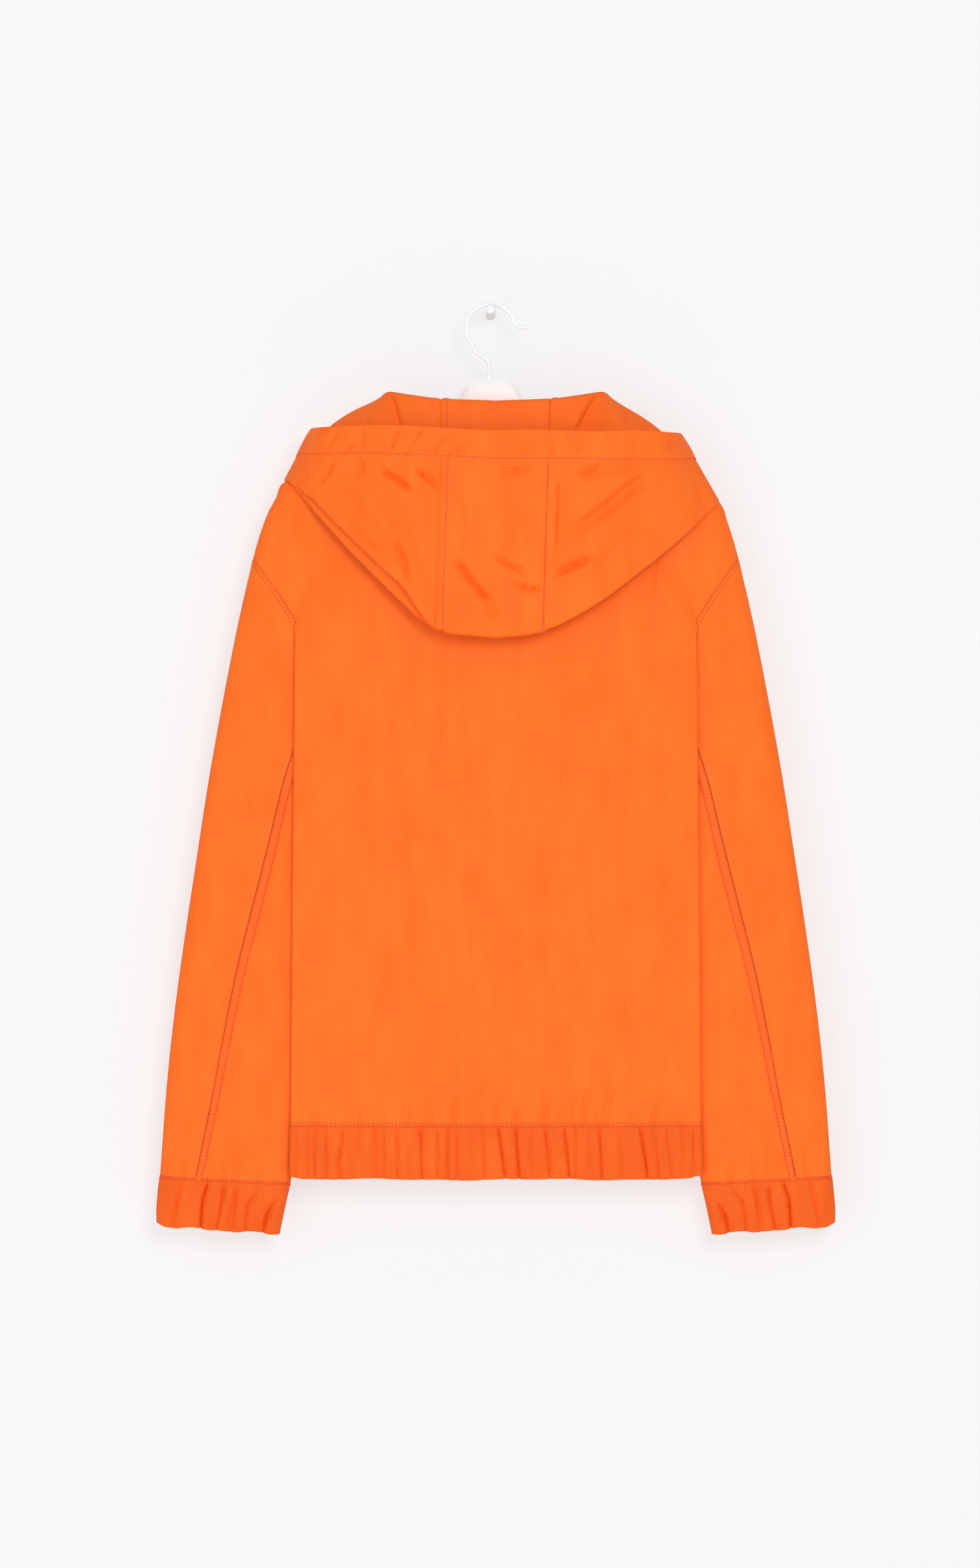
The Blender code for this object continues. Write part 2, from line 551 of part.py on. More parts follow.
def spline(corners):
    """A smooth curve that starts and ends at the end corners and is drawn towards those between."""
    middles = [a.lerp(b, 0.5) for a, b in zip(corners, corners[1:])]
    middles[0] = corners[0]
    middles[-1] = corners[-1]
    points = [middles[0]]
    for start, corner, end in zip(middles, corners[1:-1], middles[1:]):
        for i in range(1, SPLINE_STEPS + 1):
            f = i / SPLINE_STEPS
            points.append(start.lerp(corner, f).lerp(corner.lerp(end, f), f))
    return points


def hood_stops(line, top_gap, low_gap):
    """Distances along the hood's line where its rows lie: close together round the two folds."""
    lengths = run_lengths(line)
    total = lengths[-1] - CASING
    top = lengths[TOP_FOLD_AT]
    low = min(lengths[LOW_FOLD_AT], total - 3 * MM)
    near_top = min(top_gap, top * 0.4, (low - top) * 0.3)
    near_low = min(low_gap, (total - low) * 0.45, (low - top) * 0.3)
    stops = [0, (top - near_top) * 0.55]
    stops += [top + near_top * i for i in (-1, -0.5, 0, 0.5, 1)]
    stops += [mix(top + near_top, low - near_low, i) for i in (0.25, 0.5, 0.75)]
    stops += [low + near_low * i for i in (-1, -0.5, 0, 0.5, 1)]
    stops += [mix(low + near_low, total, i) for i in (0.35, 0.7)]
    stops.append(total - SEAM / 2)
    return stops


def hood_rows(places, casing):
    """Rows of the hood from neck to rim, or of its casing, at places (rows round the neck, side)."""
    columns = []
    for t, side in places:
        line = hood_line(t, side)
        total = run_lengths(line)[-1]
        if casing:
            wanted = [mix(total - CASING + 1.5 * SEAM, total, i / 2) for i in range(3)]
        else:
            wanted = hood_stops(line, column(HOOD, "top_gap", t), column(HOOD, "low_gap", t))
        columns.append(along(line, wanted))
    return [list(row) for row in zip(*columns)]


# Making solids -------------------------------------------------------------------------------------
def material(name, colour, roughness, metallic=0.0):
    made = bpy.data.materials.new(name)
    made.use_nodes = True
    shader = made.node_tree.nodes["Principled BSDF"]
    shader.inputs["Base Color"].default_value = (*colour, 1)
    shader.inputs["Roughness"].default_value = roughness
    shader.inputs["Metallic"].default_value = metallic
    return made


def empty(name, place):
    made = bpy.data.objects.new(name, None)
    made.location = place
    bpy.context.scene.collection.objects.link(made)
    return made


def link(name, mesh, finish, parent):
    made = bpy.data.objects.new(name, mesh)
    mesh.materials.append(finish)
    bpy.context.scene.collection.objects.link(made)
    made.parent = parent
    return made


def cloth(name, rows, thickness, finish, parent, closed=False):
    """A cloth piece: a wall of that thickness about the surface through rows of points."""
    work = bmesh.new()
    grid = [[work.verts.new(point) for point in row] for row in rows]
    for low, high in zip(grid, grid[1:]):
        count = len(low)
        for i in range(count if closed else count - 1):
            j = (i + 1) % count
            work.faces.new((low[i], low[j], high[j], high[i]))
    mesh = bpy.data.meshes.new(name)
    work.to_mesh(mesh)
    work.free()
    mesh.shade_smooth()
    made = link(name, mesh, finish, parent)
    wall = made.modifiers.new("wall", "SOLIDIFY")
    wall.thickness = thickness
    wall.offset = 0
    wall.use_quality_normals = True
    return made


def lofted(name, rings, finish, parent):
    """A closed solid through rings of points, with a flat end at each end."""
    work = bmesh.new()
    loops = [[work.verts.new(point) for point in ring] for ring in rings]
    count = len(loops[0])
    for low, high in zip(loops, loops[1:]):
        for i in range(count):
            j = (i + 1) % count
            work.faces.new((low[i], low[j], high[j], high[i]))
    work.faces.new(loops[0][::-1])
    work.faces.new(loops[-1])
    bmesh.ops.recalc_face_normals(work, faces=work.faces)
    mesh = bpy.data.meshes.new(name)
    work.to_mesh(mesh)
    work.free()
    mesh.shade_smooth()
    mesh.set_sharp_from_angle(angle=radians(40))
    return link(name, mesh, finish, parent)


def make_body(finish, parent):
    back = both_sides(body_rows(BACK, ACROSS_BACK))
    cloth("back_panel", back, CLOTH, finish, parent)
    for name, side in (("front_left", LEFT), ("front_right", RIGHT)):
        cloth(name, mirrored(body_rows(FRONT, ACROSS_FRONT), side), CLOTH, finish, parent)


def make_sleeves(finish, parent):
    for name, side in (("left", LEFT), ("right", RIGHT)):
        cloth("sleeve_top_" + name, mirrored(top_sleeve_rows(), side), CLOTH, finish, parent)
        cloth("sleeve_under_" + name, mirrored(under_sleeve_rows(), side), CLOTH, finish, parent)


def make_bands(finish, parent):
    cloth("hem_band", hem_rows(), DOUBLE_CLOTH, finish, parent)
    for name, side in (("cuff_left", LEFT), ("cuff_right", RIGHT)):
        rings = [ring[:-1] for ring in mirrored(cuff_rings(), side)]
        cloth(name, rings, DOUBLE_CLOTH, finish, parent, closed=True)


def make_hood(finish, parent):
    middle = []
    for i in range(-CENTRE_COLUMNS, CENTRE_COLUMNS + 1):
        middle.append((abs(i) / CENTRE_COLUMNS * (1 - CENTRE_TRIM), LEFT if i < 0 else RIGHT))
    cloth("hood_centre", hood_rows(middle, casing=False), CLOTH, finish, parent)
    left = [(t, LEFT) for t in SIDE_COLUMNS[::-1]]
    right = [(t, RIGHT) for t in SIDE_COLUMNS]
    cloth("hood_left", hood_rows(left[::-1], casing=False), CLOTH, finish, parent)
    cloth("hood_right", hood_rows(right, casing=False), CLOTH, finish, parent)
    all_round = left + [(0.5, LEFT), (0, RIGHT), (0.5, RIGHT)] + right
    cloth("hood_casing", hood_rows(all_round, casing=True), CASING_CLOTH, finish, parent)


def make_zip(tape, parent):
    for name, side in (("zip_tape_left", LEFT), ("zip_tape_right", RIGHT)):
        lines = []
        for z in ZIP_ROWS:
            below = min(1.0, (NECK_Z[FRONT] - z * MM) / ROOF)
            roof = sqrt(1 - (1 - below) ** 2)
            y = mix(NECK_DEEP[FRONT], look_up(BODY, "front", "z", z * MM), roof) - TAPE_BEHIND
            lines.append([Vector((side * x, y, z * MM)) for x in (ZIP_MEET, ZIP_HALF, ZIP_TAPE)])
        cloth(name, lines, TAPE_CLOTH, tape, parent)


def block(name, half_wide, inner, outer, low, high, finish, parent, bevel=0.0):
    """A block centred on x = 0, from inner to outer in y and low to high in z."""
    rings = []
    for z in (low, high):
        corners = ((-half_wide, inner), (half_wide, inner), (half_wide, outer), (-half_wide, outer))
        rings.append([Vector((x, y, z)) for x, y in corners])
    made = lofted(name, rings, finish, parent)
    if bevel:
        rounding = made.modifiers.new("rounded edges", "BEVEL")
        rounding.width = bevel
        rounding.segments = 2
    return made


def helper(made):
    made.hide_render = True
    made.display_type = "WIRE"
    return made


def combine(made, operation, other):
    step = made.modifiers.new(operation.lower(), "BOOLEAN")
    step.operation = operation
    step.object = other
    step.solver = "EXACT"


def make_slider(metal, parent):
    body = block("zip_slider", SLIDER["half_wide"], SLIDER["inner"], SLIDER["outer"], SLIDER["low"],
                 SLIDER["high"], metal, parent, bevel=0.7 * MM)
    half, thick = BRIDGE["half_wide"], BRIDGE["thick"]
    sunk = SLIDER["outer"] - 1 * MM
    arch = block("bridge arch", half, sunk, BRIDGE["outer"], BRIDGE["low"], BRIDGE["high"], metal, parent,
                 bevel=0.3 * MM)
    under = block("bridge opening", 2 * half, sunk - thick, BRIDGE["outer"] - thick, BRIDGE["low"] + thick,
                  BRIDGE["high"] - thick, metal, parent)
    combine(arch, "DIFFERENCE", helper(under))
    combine(body, "UNION", helper(arch))


def make_tab(metal, parent):
    tab = block("zip_pull", TAB["half_wide"], TAB["inner"], TAB["outer"], TAB["low"], TAB["high"], metal,
                parent, bevel=0.3 * MM)
    slot = block("tab slot", TAB_SLOT["half_wide"], TAB["inner"] - 1 * MM, TAB["outer"] + 1 * MM,
                 TAB_SLOT["low"], TAB_SLOT["high"], metal, parent)
    combine(tab, "DIFFERENCE", helper(slot))


def make_hanger(plastic, parent):
    rings = []
    places = [(-1, row) for row in HANGER[:0:-1]] + [(1, row) for row in HANGER]
    for side, row in places:
        middle = (row["top"] + row["low"]) / 2
        high = (row["top"] - row["low"]) / 2
        ring = []
        for i in range(12):
            angle = 2 * pi * (i + 0.5) / 12
            y = row["half"] * max(-1, min(1, 1.15 * cos(angle)))
            z = middle + high * max(-1, min(1, 1.15 * sin(angle)))
            ring.append(Vector((side * row["x"] * MM, y * MM, z * MM)))
        rings.append(ring)
    return lofted("hanger", rings, plastic, parent)


def hook_path():
    """The hook's wire from its tip, over the peg and down to the hanger."""
    high = PEG_SHAFT + SEAM + HOOK_WIRE - HOOK_R
    points = [Vector((x * MM, 0, z * MM)) for x, z in HOOK_TIP]
    for i in range(HOOK_STEPS + 1):
        angle = radians(mix(*HOOK_ROUND, i / HOOK_STEPS))
        points.append(Vector((HOOK_R * cos(angle), 0, high + HOOK_R * sin(angle))))
    points += [Vector((x * MM, 0, z * MM)) for x, z in HOOK_NECK]
    return points


def wire(name, points, radius, finish, parent):
    """A round wire along points in the plane y = 0."""
    rings = []
    for i, point in enumerate(points):
        run = points[min(i + 1, len(points) - 1)] - points[max(i - 1, 0)]
        across = Vector((run.z, 0, -run.x)).normalized()
        ring = []
        for k in range(8):
            angle = 2 * pi * k / 8
            ring.append(point + across * radius * cos(angle) + Vector((0, radius * sin(angle), 0)))
        rings.append(ring)
    return lofted(name, rings, finish, parent)


def turned(name, profile, count, finish, parent):
    """A turned solid along -Y from its (radius, reach) profile."""
    rings = []
    for radius, reach in profile:
        ring = []
        for k in range(count):
            angle = 2 * pi * k / count
            ring.append(Vector((radius * cos(angle), -reach, radius * sin(angle))))
        rings.append(ring)
    return lofted(name, rings, finish, parent)


def clear_scene():
    for made in list(bpy.data.objects):
        bpy.data.objects.remove(made, do_unlink=True)


def build():
    clear_scene()
    nylon = material("orange nylon", (0.99, 0.19, 0.027), 0.55)
    tape = material("orange zip tape", (0.85, 0.15, 0.02), 0.7)
    metal = material("orange lacquered zinc", (0.8, 0.16, 0.03), 0.35, 0.3)
    plastic = material("white plastic", (0.90, 0.90, 0.89), 0.35)
    enamel = material("white enamelled wire", (0.86, 0.86, 0.85), 0.3)
    hung = empty("hanging plane", (0, -HANGER_OUT, 0))
    jacket = empty("jacket", (JACKET_X, 0, 0))
    jacket.parent = hung
    make_body(nylon, jacket)
    make_sleeves(nylon, jacket)
    make_bands(nylon, jacket)
    make_hood(nylon, jacket)
    make_zip(tape, jacket)
    make_slider(metal, jacket)
    make_tab(metal, jacket)
    make_hanger(plastic, hung)
    wire("hanger_hook", hook_path(), HOOK_WIRE, enamel, hung)
    profile = ((PEG_SHAFT + PEG_RIM, 0), (PEG_SHAFT, 2 * MM), (PEG_SHAFT, PEG_LONG - 3 * MM),
               (PEG_HEAD, PEG_LONG - 2.2 * MM), (PEG_HEAD, PEG_LONG - PEG_RIM),
               (PEG_HEAD - PEG_RIM, PEG_LONG))
    turned("wall_peg", profile, 20, plastic, empty("wall", (0, 0, 0)))


build()
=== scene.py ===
"""The looks of a hooded jacket on its hanger, hung back to the room from a wall peg. Metres, +Z up."""

from math import asin, pi, radians, sqrt

import bpy
import numpy as np
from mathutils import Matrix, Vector


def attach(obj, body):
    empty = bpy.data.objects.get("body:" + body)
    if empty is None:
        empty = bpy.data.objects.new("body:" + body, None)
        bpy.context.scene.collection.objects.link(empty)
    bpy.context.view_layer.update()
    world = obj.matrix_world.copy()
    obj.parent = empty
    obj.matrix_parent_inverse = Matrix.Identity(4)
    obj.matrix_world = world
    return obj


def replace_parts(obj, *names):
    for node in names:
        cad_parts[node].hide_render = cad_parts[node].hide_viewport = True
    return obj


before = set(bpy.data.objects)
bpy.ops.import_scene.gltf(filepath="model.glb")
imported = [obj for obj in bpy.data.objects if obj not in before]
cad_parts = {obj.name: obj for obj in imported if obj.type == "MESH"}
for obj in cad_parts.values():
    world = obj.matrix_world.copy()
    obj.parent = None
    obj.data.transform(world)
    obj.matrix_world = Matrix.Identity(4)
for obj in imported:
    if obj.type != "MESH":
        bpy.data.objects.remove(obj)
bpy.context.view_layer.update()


# The room: a pale wall that carries the peg, a pale floor below the picture, and soft light from large
# panels. The camera stands as far back as a studio camera with a long lens. Sizes are in metres here, and
# in millimetres in all that follows.
MM = 0.001
WALL_HALF = 3.0
FLOOR_Z = -1.42
JACKET_OUT = 0.055            # from the wall to about the jacket's back
CAMERA_AWAY = 3.85            # from there to the camera
PICTURE_HIGH = 1.379          # height of the picture at the jacket
PICTURE_MIDDLE = (-0.0006, -0.4180)
PANELS_AIM = (0, 0, -0.4)


def colour(hexed):
    """An sRGB colour such as ff8800 as the linear colour that a shader takes."""
    parts = [int(hexed[i:i + 2], 16) / 255 for i in (0, 2, 4)]
    return [*(c / 12.92 if c <= 0.04045 else ((c + 0.055) / 1.055) ** 2.4 for c in parts), 1.0]


def add_node(tree, kind, inputs, **settings):
    """Adds a node with its settings, and gives each input a value or the output that feeds it."""
    made = tree.nodes.new("ShaderNode" + kind)
    for name, value in settings.items():
        setattr(made, name, value)
    for name, value in inputs.items():
        if isinstance(value, bpy.types.NodeSocket):
            tree.links.new(value, made.inputs[name])
        else:
            made.inputs[name].default_value = value
    return made


def new_material(name):
    """An empty material, as its node tree and its output's surface socket."""
    made = bpy.data.materials.new(name)
    made.use_nodes = True
    made.node_tree.nodes.clear()
    output = add_node(made.node_tree, "OutputMaterial", {})
    return made, made.node_tree, output.inputs["Surface"]


def mesh_object(name, points, faces, finish, smooth=40):
    """A mesh from its points in metres and its faces, shaded smooth up to that angle in degrees."""
    mesh = bpy.data.meshes.new(name)
    mesh.from_pydata(np.asarray(points).tolist(), [], [tuple(face) for face in faces])
    mesh.update()
    mesh.shade_smooth()
    mesh.set_sharp_from_angle(angle=radians(smooth))
    mesh.materials.append(finish)
    made = bpy.data.objects.new(name, mesh)
    bpy.context.scene.collection.objects.link(made)
    return made


# Matt emulsion on plaster, evenly lit from its own side, so the picture's ground is an even near-white with
# faint shadows. Seen from behind, the wall lets the view through.
paint, tree, surface = new_material("matt white emulsion")
grain = add_node(tree, "TexNoise", {"Scale": 220.0, "Detail": 3.0})
relief = add_node(tree, "Bump", {"Strength": 0.04, "Distance": 0.4 * MM, "Height": grain.outputs["Fac"]})
matt = add_node(tree, "BsdfDiffuse", {"Color": (0.3, 0.3, 0.3, 1.0), "Normal": relief.outputs["Normal"]})
lit = add_node(tree, "Emission", {"Color": (1.0, 1.0, 1.0, 1.0), "Strength": 0.625})
even = add_node(tree, "AddShader", {0: matt.outputs["BSDF"], 1: lit.outputs["Emission"]})
clear = add_node(tree, "BsdfTransparent", {})
behind = add_node(tree, "NewGeometry", {})
one_sided = add_node(tree, "MixShader", {0: behind.outputs["Backfacing"], 1: even.outputs["Shader"],
                                         2: clear.outputs["BSDF"]})
tree.links.new(one_sided.outputs["Shader"], surface)

wide, low = WALL_HALF, FLOOR_Z
corners = [(-wide, 0, low), (wide, 0, low), (wide, 0, wide), (-wide, 0, wide)]
wall = mesh_object("wall", corners, [(0, 1, 2, 3)], paint)
corners = [(-wide, -2 * wide, low), (wide, -2 * wide, low), (wide, 2 * wide, low), (-wide, 2 * wide, low)]
floor = mesh_object("floor", corners, [(0, 1, 2, 3)], paint)

scene = bpy.context.scene
scene.view_settings.view_transform = "Standard"
scene.world = bpy.data.worlds.new("studio")
scene.world.use_nodes = True
sky = scene.world.node_tree.nodes["Background"]
sky.inputs["Color"].default_value = (1.0, 1.0, 1.0, 1.0)
sky.inputs["Strength"].default_value = 0.46


def soft_panel(name, place, size, watts):
    """A square light panel at place, turned towards the jacket."""
    data = bpy.data.lights.new(name, "AREA")
    data.size = size
    data.energy = watts
    made = bpy.data.objects.new(name, data)
    made.location = place
    made.rotation_euler = (Vector(PANELS_AIM) - Vector(place)).to_track_quat("-Z", "Y").to_euler()
    scene.collection.objects.link(made)


soft_panel("key panel", (0.55, -3.1, 0.3), size=0.9, watts=37)
soft_panel("fill panel", (-1.5, -3.0, -0.5), size=1.8, watts=18)
soft_panel("rear panel", (-0.6, 2.8, 0.9), size=2.4, watts=60)

lens = bpy.data.cameras.new("camera")
lens.lens = lens.sensor_width * CAMERA_AWAY / PICTURE_HIGH
camera = bpy.data.objects.new("camera", lens)
camera.location = (PICTURE_MIDDLE[0], -CAMERA_AWAY - JACKET_OUT, PICTURE_MIDDLE[1])
camera.rotation_euler = (pi / 2, 0, 0)
scene.collection.objects.link(camera)
scene.camera = camera


# The wall peg: a turned steel pin with a low head, enamelled white, driven into the wall.
def speckled(name, dark, light, pattern, shader, relief=None, by_box=False, kind="TexNoise", **settings):
    """A finish that wanders between two colours with a fine pattern, which also raises it by relief, given
    as strength and millimetres. The pattern is laid over the object's metres or over its box."""
    made, tree, surface = new_material(name)
    if not by_box:
        pattern["Vector"] = add_node(tree, "TexCoord", {}).outputs["Object"]
    speck = add_node(tree, kind, pattern, **settings)
    shade = add_node(tree, "ValToRGB", {"Fac": speck.outputs["Fac"]})
    shade.color_ramp.elements[0].color = colour(dark)
    shade.color_ramp.elements[1].color = colour(light)
    shader["Base Color"] = shade.outputs["Color"]
    if relief:
        raised = add_node(tree, "Bump", {"Strength": relief[0], "Distance": relief[1] * MM,
                                         "Height": speck.outputs["Fac"]})
        shader["Normal"] = raised.outputs["Normal"]
    tree.links.new(add_node(tree, "BsdfPrincipled", shader).outputs["BSDF"], surface)
    return made


peg_enamel = speckled("white enamel on steel", "dedfdd", "ecedea", {"Scale": 900.0, "Detail": 2.0},
                      {"Roughness": 0.32, "IOR": 1.5}, relief=(0.1, 0.1), by_box=True)
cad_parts["wall_peg"].material_slots[0].material = peg_enamel


# The hanger's hook: round steel wire, bent over the peg and coated white, pushed into the hanger's middle.
HANGER_OUT = 42.0             # from the wall to the hanger's middle
HOOK_R = 21.6
HOOK_WIRE = 1.65
PEG_SHAFT = 3.6
STEM_X = -1.1                 # the hook's stem stands a little left of the peg
ROUND_END = np.array([(0.92, 0.35), (0.6, 0.8), (0.0, 1.0)])   # shares of a bar's radius: past its end, wide


def tube(name, line, radius, sides, finish):
    """A round bar along a line in millimetres, with rounded ends; radius is one value or one per point."""
    line = np.asarray(line, float)
    run = np.gradient(line, axis=0)
    run /= np.linalg.norm(run, axis=1)[:, None]
    radius = np.broadcast_to(np.asarray(radius, float), len(line))
    first = line[:1] - run[:1] * radius[0] * ROUND_END[:, :1]
    last = line[-1:] + run[-1:] * radius[-1] * ROUND_END[::-1, :1]
    line = np.concatenate((first, line[1:-1], last))
    radius = np.concatenate((radius[0] * ROUND_END[:, 1], radius[1:-1], radius[-1] * ROUND_END[::-1, 1]))
    run = np.gradient(line, axis=0)
    run /= np.linalg.norm(run, axis=1)[:, None]
    upright = np.array([0.0, 1.0, 0.0]) if abs(run[:, 1]).max() < 0.9 else np.array([0.0, 0.0, 1.0])
    across = np.cross(run, upright)
    across /= np.linalg.norm(across, axis=1)[:, None]
    over = np.cross(run, across)
    turn = np.linspace(0, 2 * pi, sides, endpoint=False)
    rings = line[:, None] + radius[:, None, None] * (
        across[:, None] * np.cos(turn)[None, :, None] + over[:, None] * np.sin(turn)[None, :, None])
    return mesh_object(name, rings.reshape(-1, 3) * MM, loft_faces(len(line), sides), finish)


def loft_faces(rings, count):
    """The faces of a closed solid through rings of count points each, with a flat end at each end."""
    faces = []
    for k in range(rings - 1):
        for i in range(count):
            j = (i + 1) % count
            faces.append((k * count + i, (k + 1) * count + i, (k + 1) * count + j, k * count + j))
    faces.append(range(count))
    faces.append(range(rings * count - 1, (rings - 1) * count - 1, -1))
    return faces


def curve(values, t):
    """A smooth curve through the rows of values, at t rows from the first."""
    values = np.asarray(values, float)
    t = np.clip(np.asarray(t, float), 0, len(values) - 1)
    i = np.minimum(t.astype(int), len(values) - 2)
    f = (t - i).reshape(t.shape + (1,) * (values.ndim - 1))
    ends = np.concatenate(([2 * values[0] - values[1]], values, [2 * values[-1] - values[-2]]))
    a, b, c, d = ends[i], ends[i + 1], ends[i + 2], ends[i + 3]
    return b + 0.5 * f * ((c - a) + f * ((2 * a - 5 * b + 4 * c - d) + f * (3 * b - a - 3 * c + d)))


middle = PEG_SHAFT + 0.3 + HOOK_WIRE - HOOK_R
turn = np.radians(np.linspace(12, 212, 17))
bend = np.stack((HOOK_R * np.cos(turn), middle + HOOK_R * np.sin(turn)), 1)
wire = np.concatenate(([(31.3, -15.2), (28, -15.4), (24.6, -14.2)], bend,
                       [(-13, -36.8), (-5, -42.6), (-1.8, -46.5), (STEM_X, -52), (STEM_X, -61.5)]))
wire = curve(np.insert(wire, 1, -HANGER_OUT, axis=1), np.linspace(0, len(wire) - 1, 110))

# White powder coat on steel wire: a little softer in its gloss than the peg, and very slightly pebbled.
# Its white is tinted faintly blue: painted light, a counter to the orange light that the jacket throws on it.
coated = speckled("white powder coat on wire", "f6fbfd", "f6fbfd", {"Scale": 1400.0, "Detail": 1.0},
                  {"Roughness": 0.5, "IOR": 1.5}, relief=(0.25, 0.05), by_box=True)
hook = tube("hook", wire, HOOK_WIRE, 20, coated)
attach(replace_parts(hook, "hanger_hook"), "jacket")


# The hanger: moulded white plastic, with a hump at its middle that holds the hook and two sloping arms
# inside the shoulders. Only the hump shows.
def table(names, *rows):
    """A table of sizes in millimetres, as one array for each named column."""
    return dict(zip(names.split(), np.array(rows, float).T))


SECTION_FLAT = 1.15           # flattens the sides of the arms' round section
COLLAR_R = 3.1
HANGER = table(
    "x top low half",
    (0, -61, -98, 6.0), (11.5, -61, -98.5, 6.0), (19, -64, -100, 6.0), (24, -71, -102, 6.0),
    (30, -82, -104, 6.0), (42, -98, -112, 6.0), (62, -112, -124, 5.6), (86, -122, -136, 5.4),
    (104, -126.8, -142, 5.2), (120, -132.4, -148, 5.0), (146, -140.9, -158, 4.6),
    (158, -147.0, -163, 4.0), (165, -153, -163, 3.0),
)
# Its white is tinted faintly blue: painted light, a counter to the orange light that the jacket throws on it.
moulded = speckled("white moulded polystyrene", "f5fbfd", "fbfeff", {"Scale": 60.0, "Detail": 4.0},
                   {"Roughness": 0.42, "IOR": 1.59}, relief=(0.12, 0.3), by_box=True)
t = np.linspace(0, len(HANGER["x"]) - 1, 90)
arm = [curve(HANGER[name], t) for name in ("x", "top", "low", "half")]
turn = np.linspace(0, 2 * pi, 40, endpoint=False) + 0.01
rings = []
for side, order in ((-1, slice(None, 0, -1)), (1, slice(None))):
    for x, top, low, half in zip(*(column[order] for column in arm)):
        y = half * np.clip(SECTION_FLAT * np.cos(turn), -1, 1) - HANGER_OUT
        z = (top + low) / 2 + (top - low) / 2 * np.clip(SECTION_FLAT * np.sin(turn), -1, 1)
        rings.append(np.stack((np.full(len(turn), side * x), y, z), 1))
hanger = mesh_object("hanger_body", np.concatenate(rings) * MM, loft_faces(len(rings), len(turn)), moulded)
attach(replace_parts(hanger, "hanger"), "jacket")
collar_line = [(STEM_X, -HANGER_OUT, z) for z in (-58.6, -60.0, -62.5)]
collar = tube("hook_collar", collar_line, COLLAR_R, 24, moulded)
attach(collar, "jacket")


# The back and the two fronts: light plain-woven nylon, cut straight and sewn to the bands and sleeves.
# Below the armholes the sides of the body fold in behind themselves, over the hanging sleeves.
JACKET_PLACE = np.array((4.5, -HANGER_OUT, 0.0))   # it hangs a little to the right of the peg
CLOTH = 0.9                   # about as in the frame; the real nylon is 0.15 thick
FLAT_BY_SEAM = 4.5            # folds end this far from a seam across them
PUCKER = 0.7                  # height of the small gathers beside a seam
HEM_SEAM = -717.5
UNDERARM = -408.0
UNDERARM_X = 100.0
ARMHOLE_TOP = (213.8, -220.0)
FOLD_TOP = -275.0             # the side folds start here and are whole a little lower
FOLD_GROWS = 21.0
FOLD_R = 2.25                 # radius of a side fold's edge
TURN = 14.0                   # the folded-in layer bends to its seam within this
ROOF = 16.0                   # the back and fronts come together this far below the shoulders
EDGE_Y = 0.35
NECK_HALF = 88.0
NECK_POINT = -118.0           # the neck's sides
NECK_Z = dict(back=-114.0, front=-165.0)
NECK_DEEP = dict(back=20.0, front=18.5)
FACES = dict(back=-1, front=1)
SIDES = (("left", -1), ("right", 1))
SHOULDER = table(
    "x z",
    (88, -118), (120, -129.5), (150, -139), (172, -147), (182, -155), (188.5, -163), (195, -170.5),
    (199.5, -177), (202.8, -184.5), (207, -196), (210.5, -207.5), (213.8, -220),
)
ARMHOLE = table("z x", (-408, 100), (-341, 139), (-275, 176), (-253, 190), (-239.5, 200), (-220, 213.8))
# At each height: how far out the side fold is, how much is folded in behind it, and how far the side edge
# and the middle of the back and of the fronts stand from the jacket's own middle.
BODY = table(
    "z fold tuck edge back front",
    (-765, 181.0, 32, 16.4, 22, 20), (-717.5, 180.3, 37, 17.2, 26, 22), (-640, 179.6, 47, 18.0, 28, 23),
    (-560, 179.0, 58, 18.8, 28, 23.5), (-480, 178.3, 70, 19.6, 27, 23.5), (-408, 177.5, 79, 20.2, 26, 23),
    (-340, 176.9, 79, 20.0, 25, 22), (-288, 176.4, 79, 19.4, 24, 21), (-272, 176.0, 79, 14.6, 23, 20.5),
    (-245, 196.0, 79, 12.5, 22, 20), (-220, 213.8, 79, 9.0, 21.5, 19.5),
)
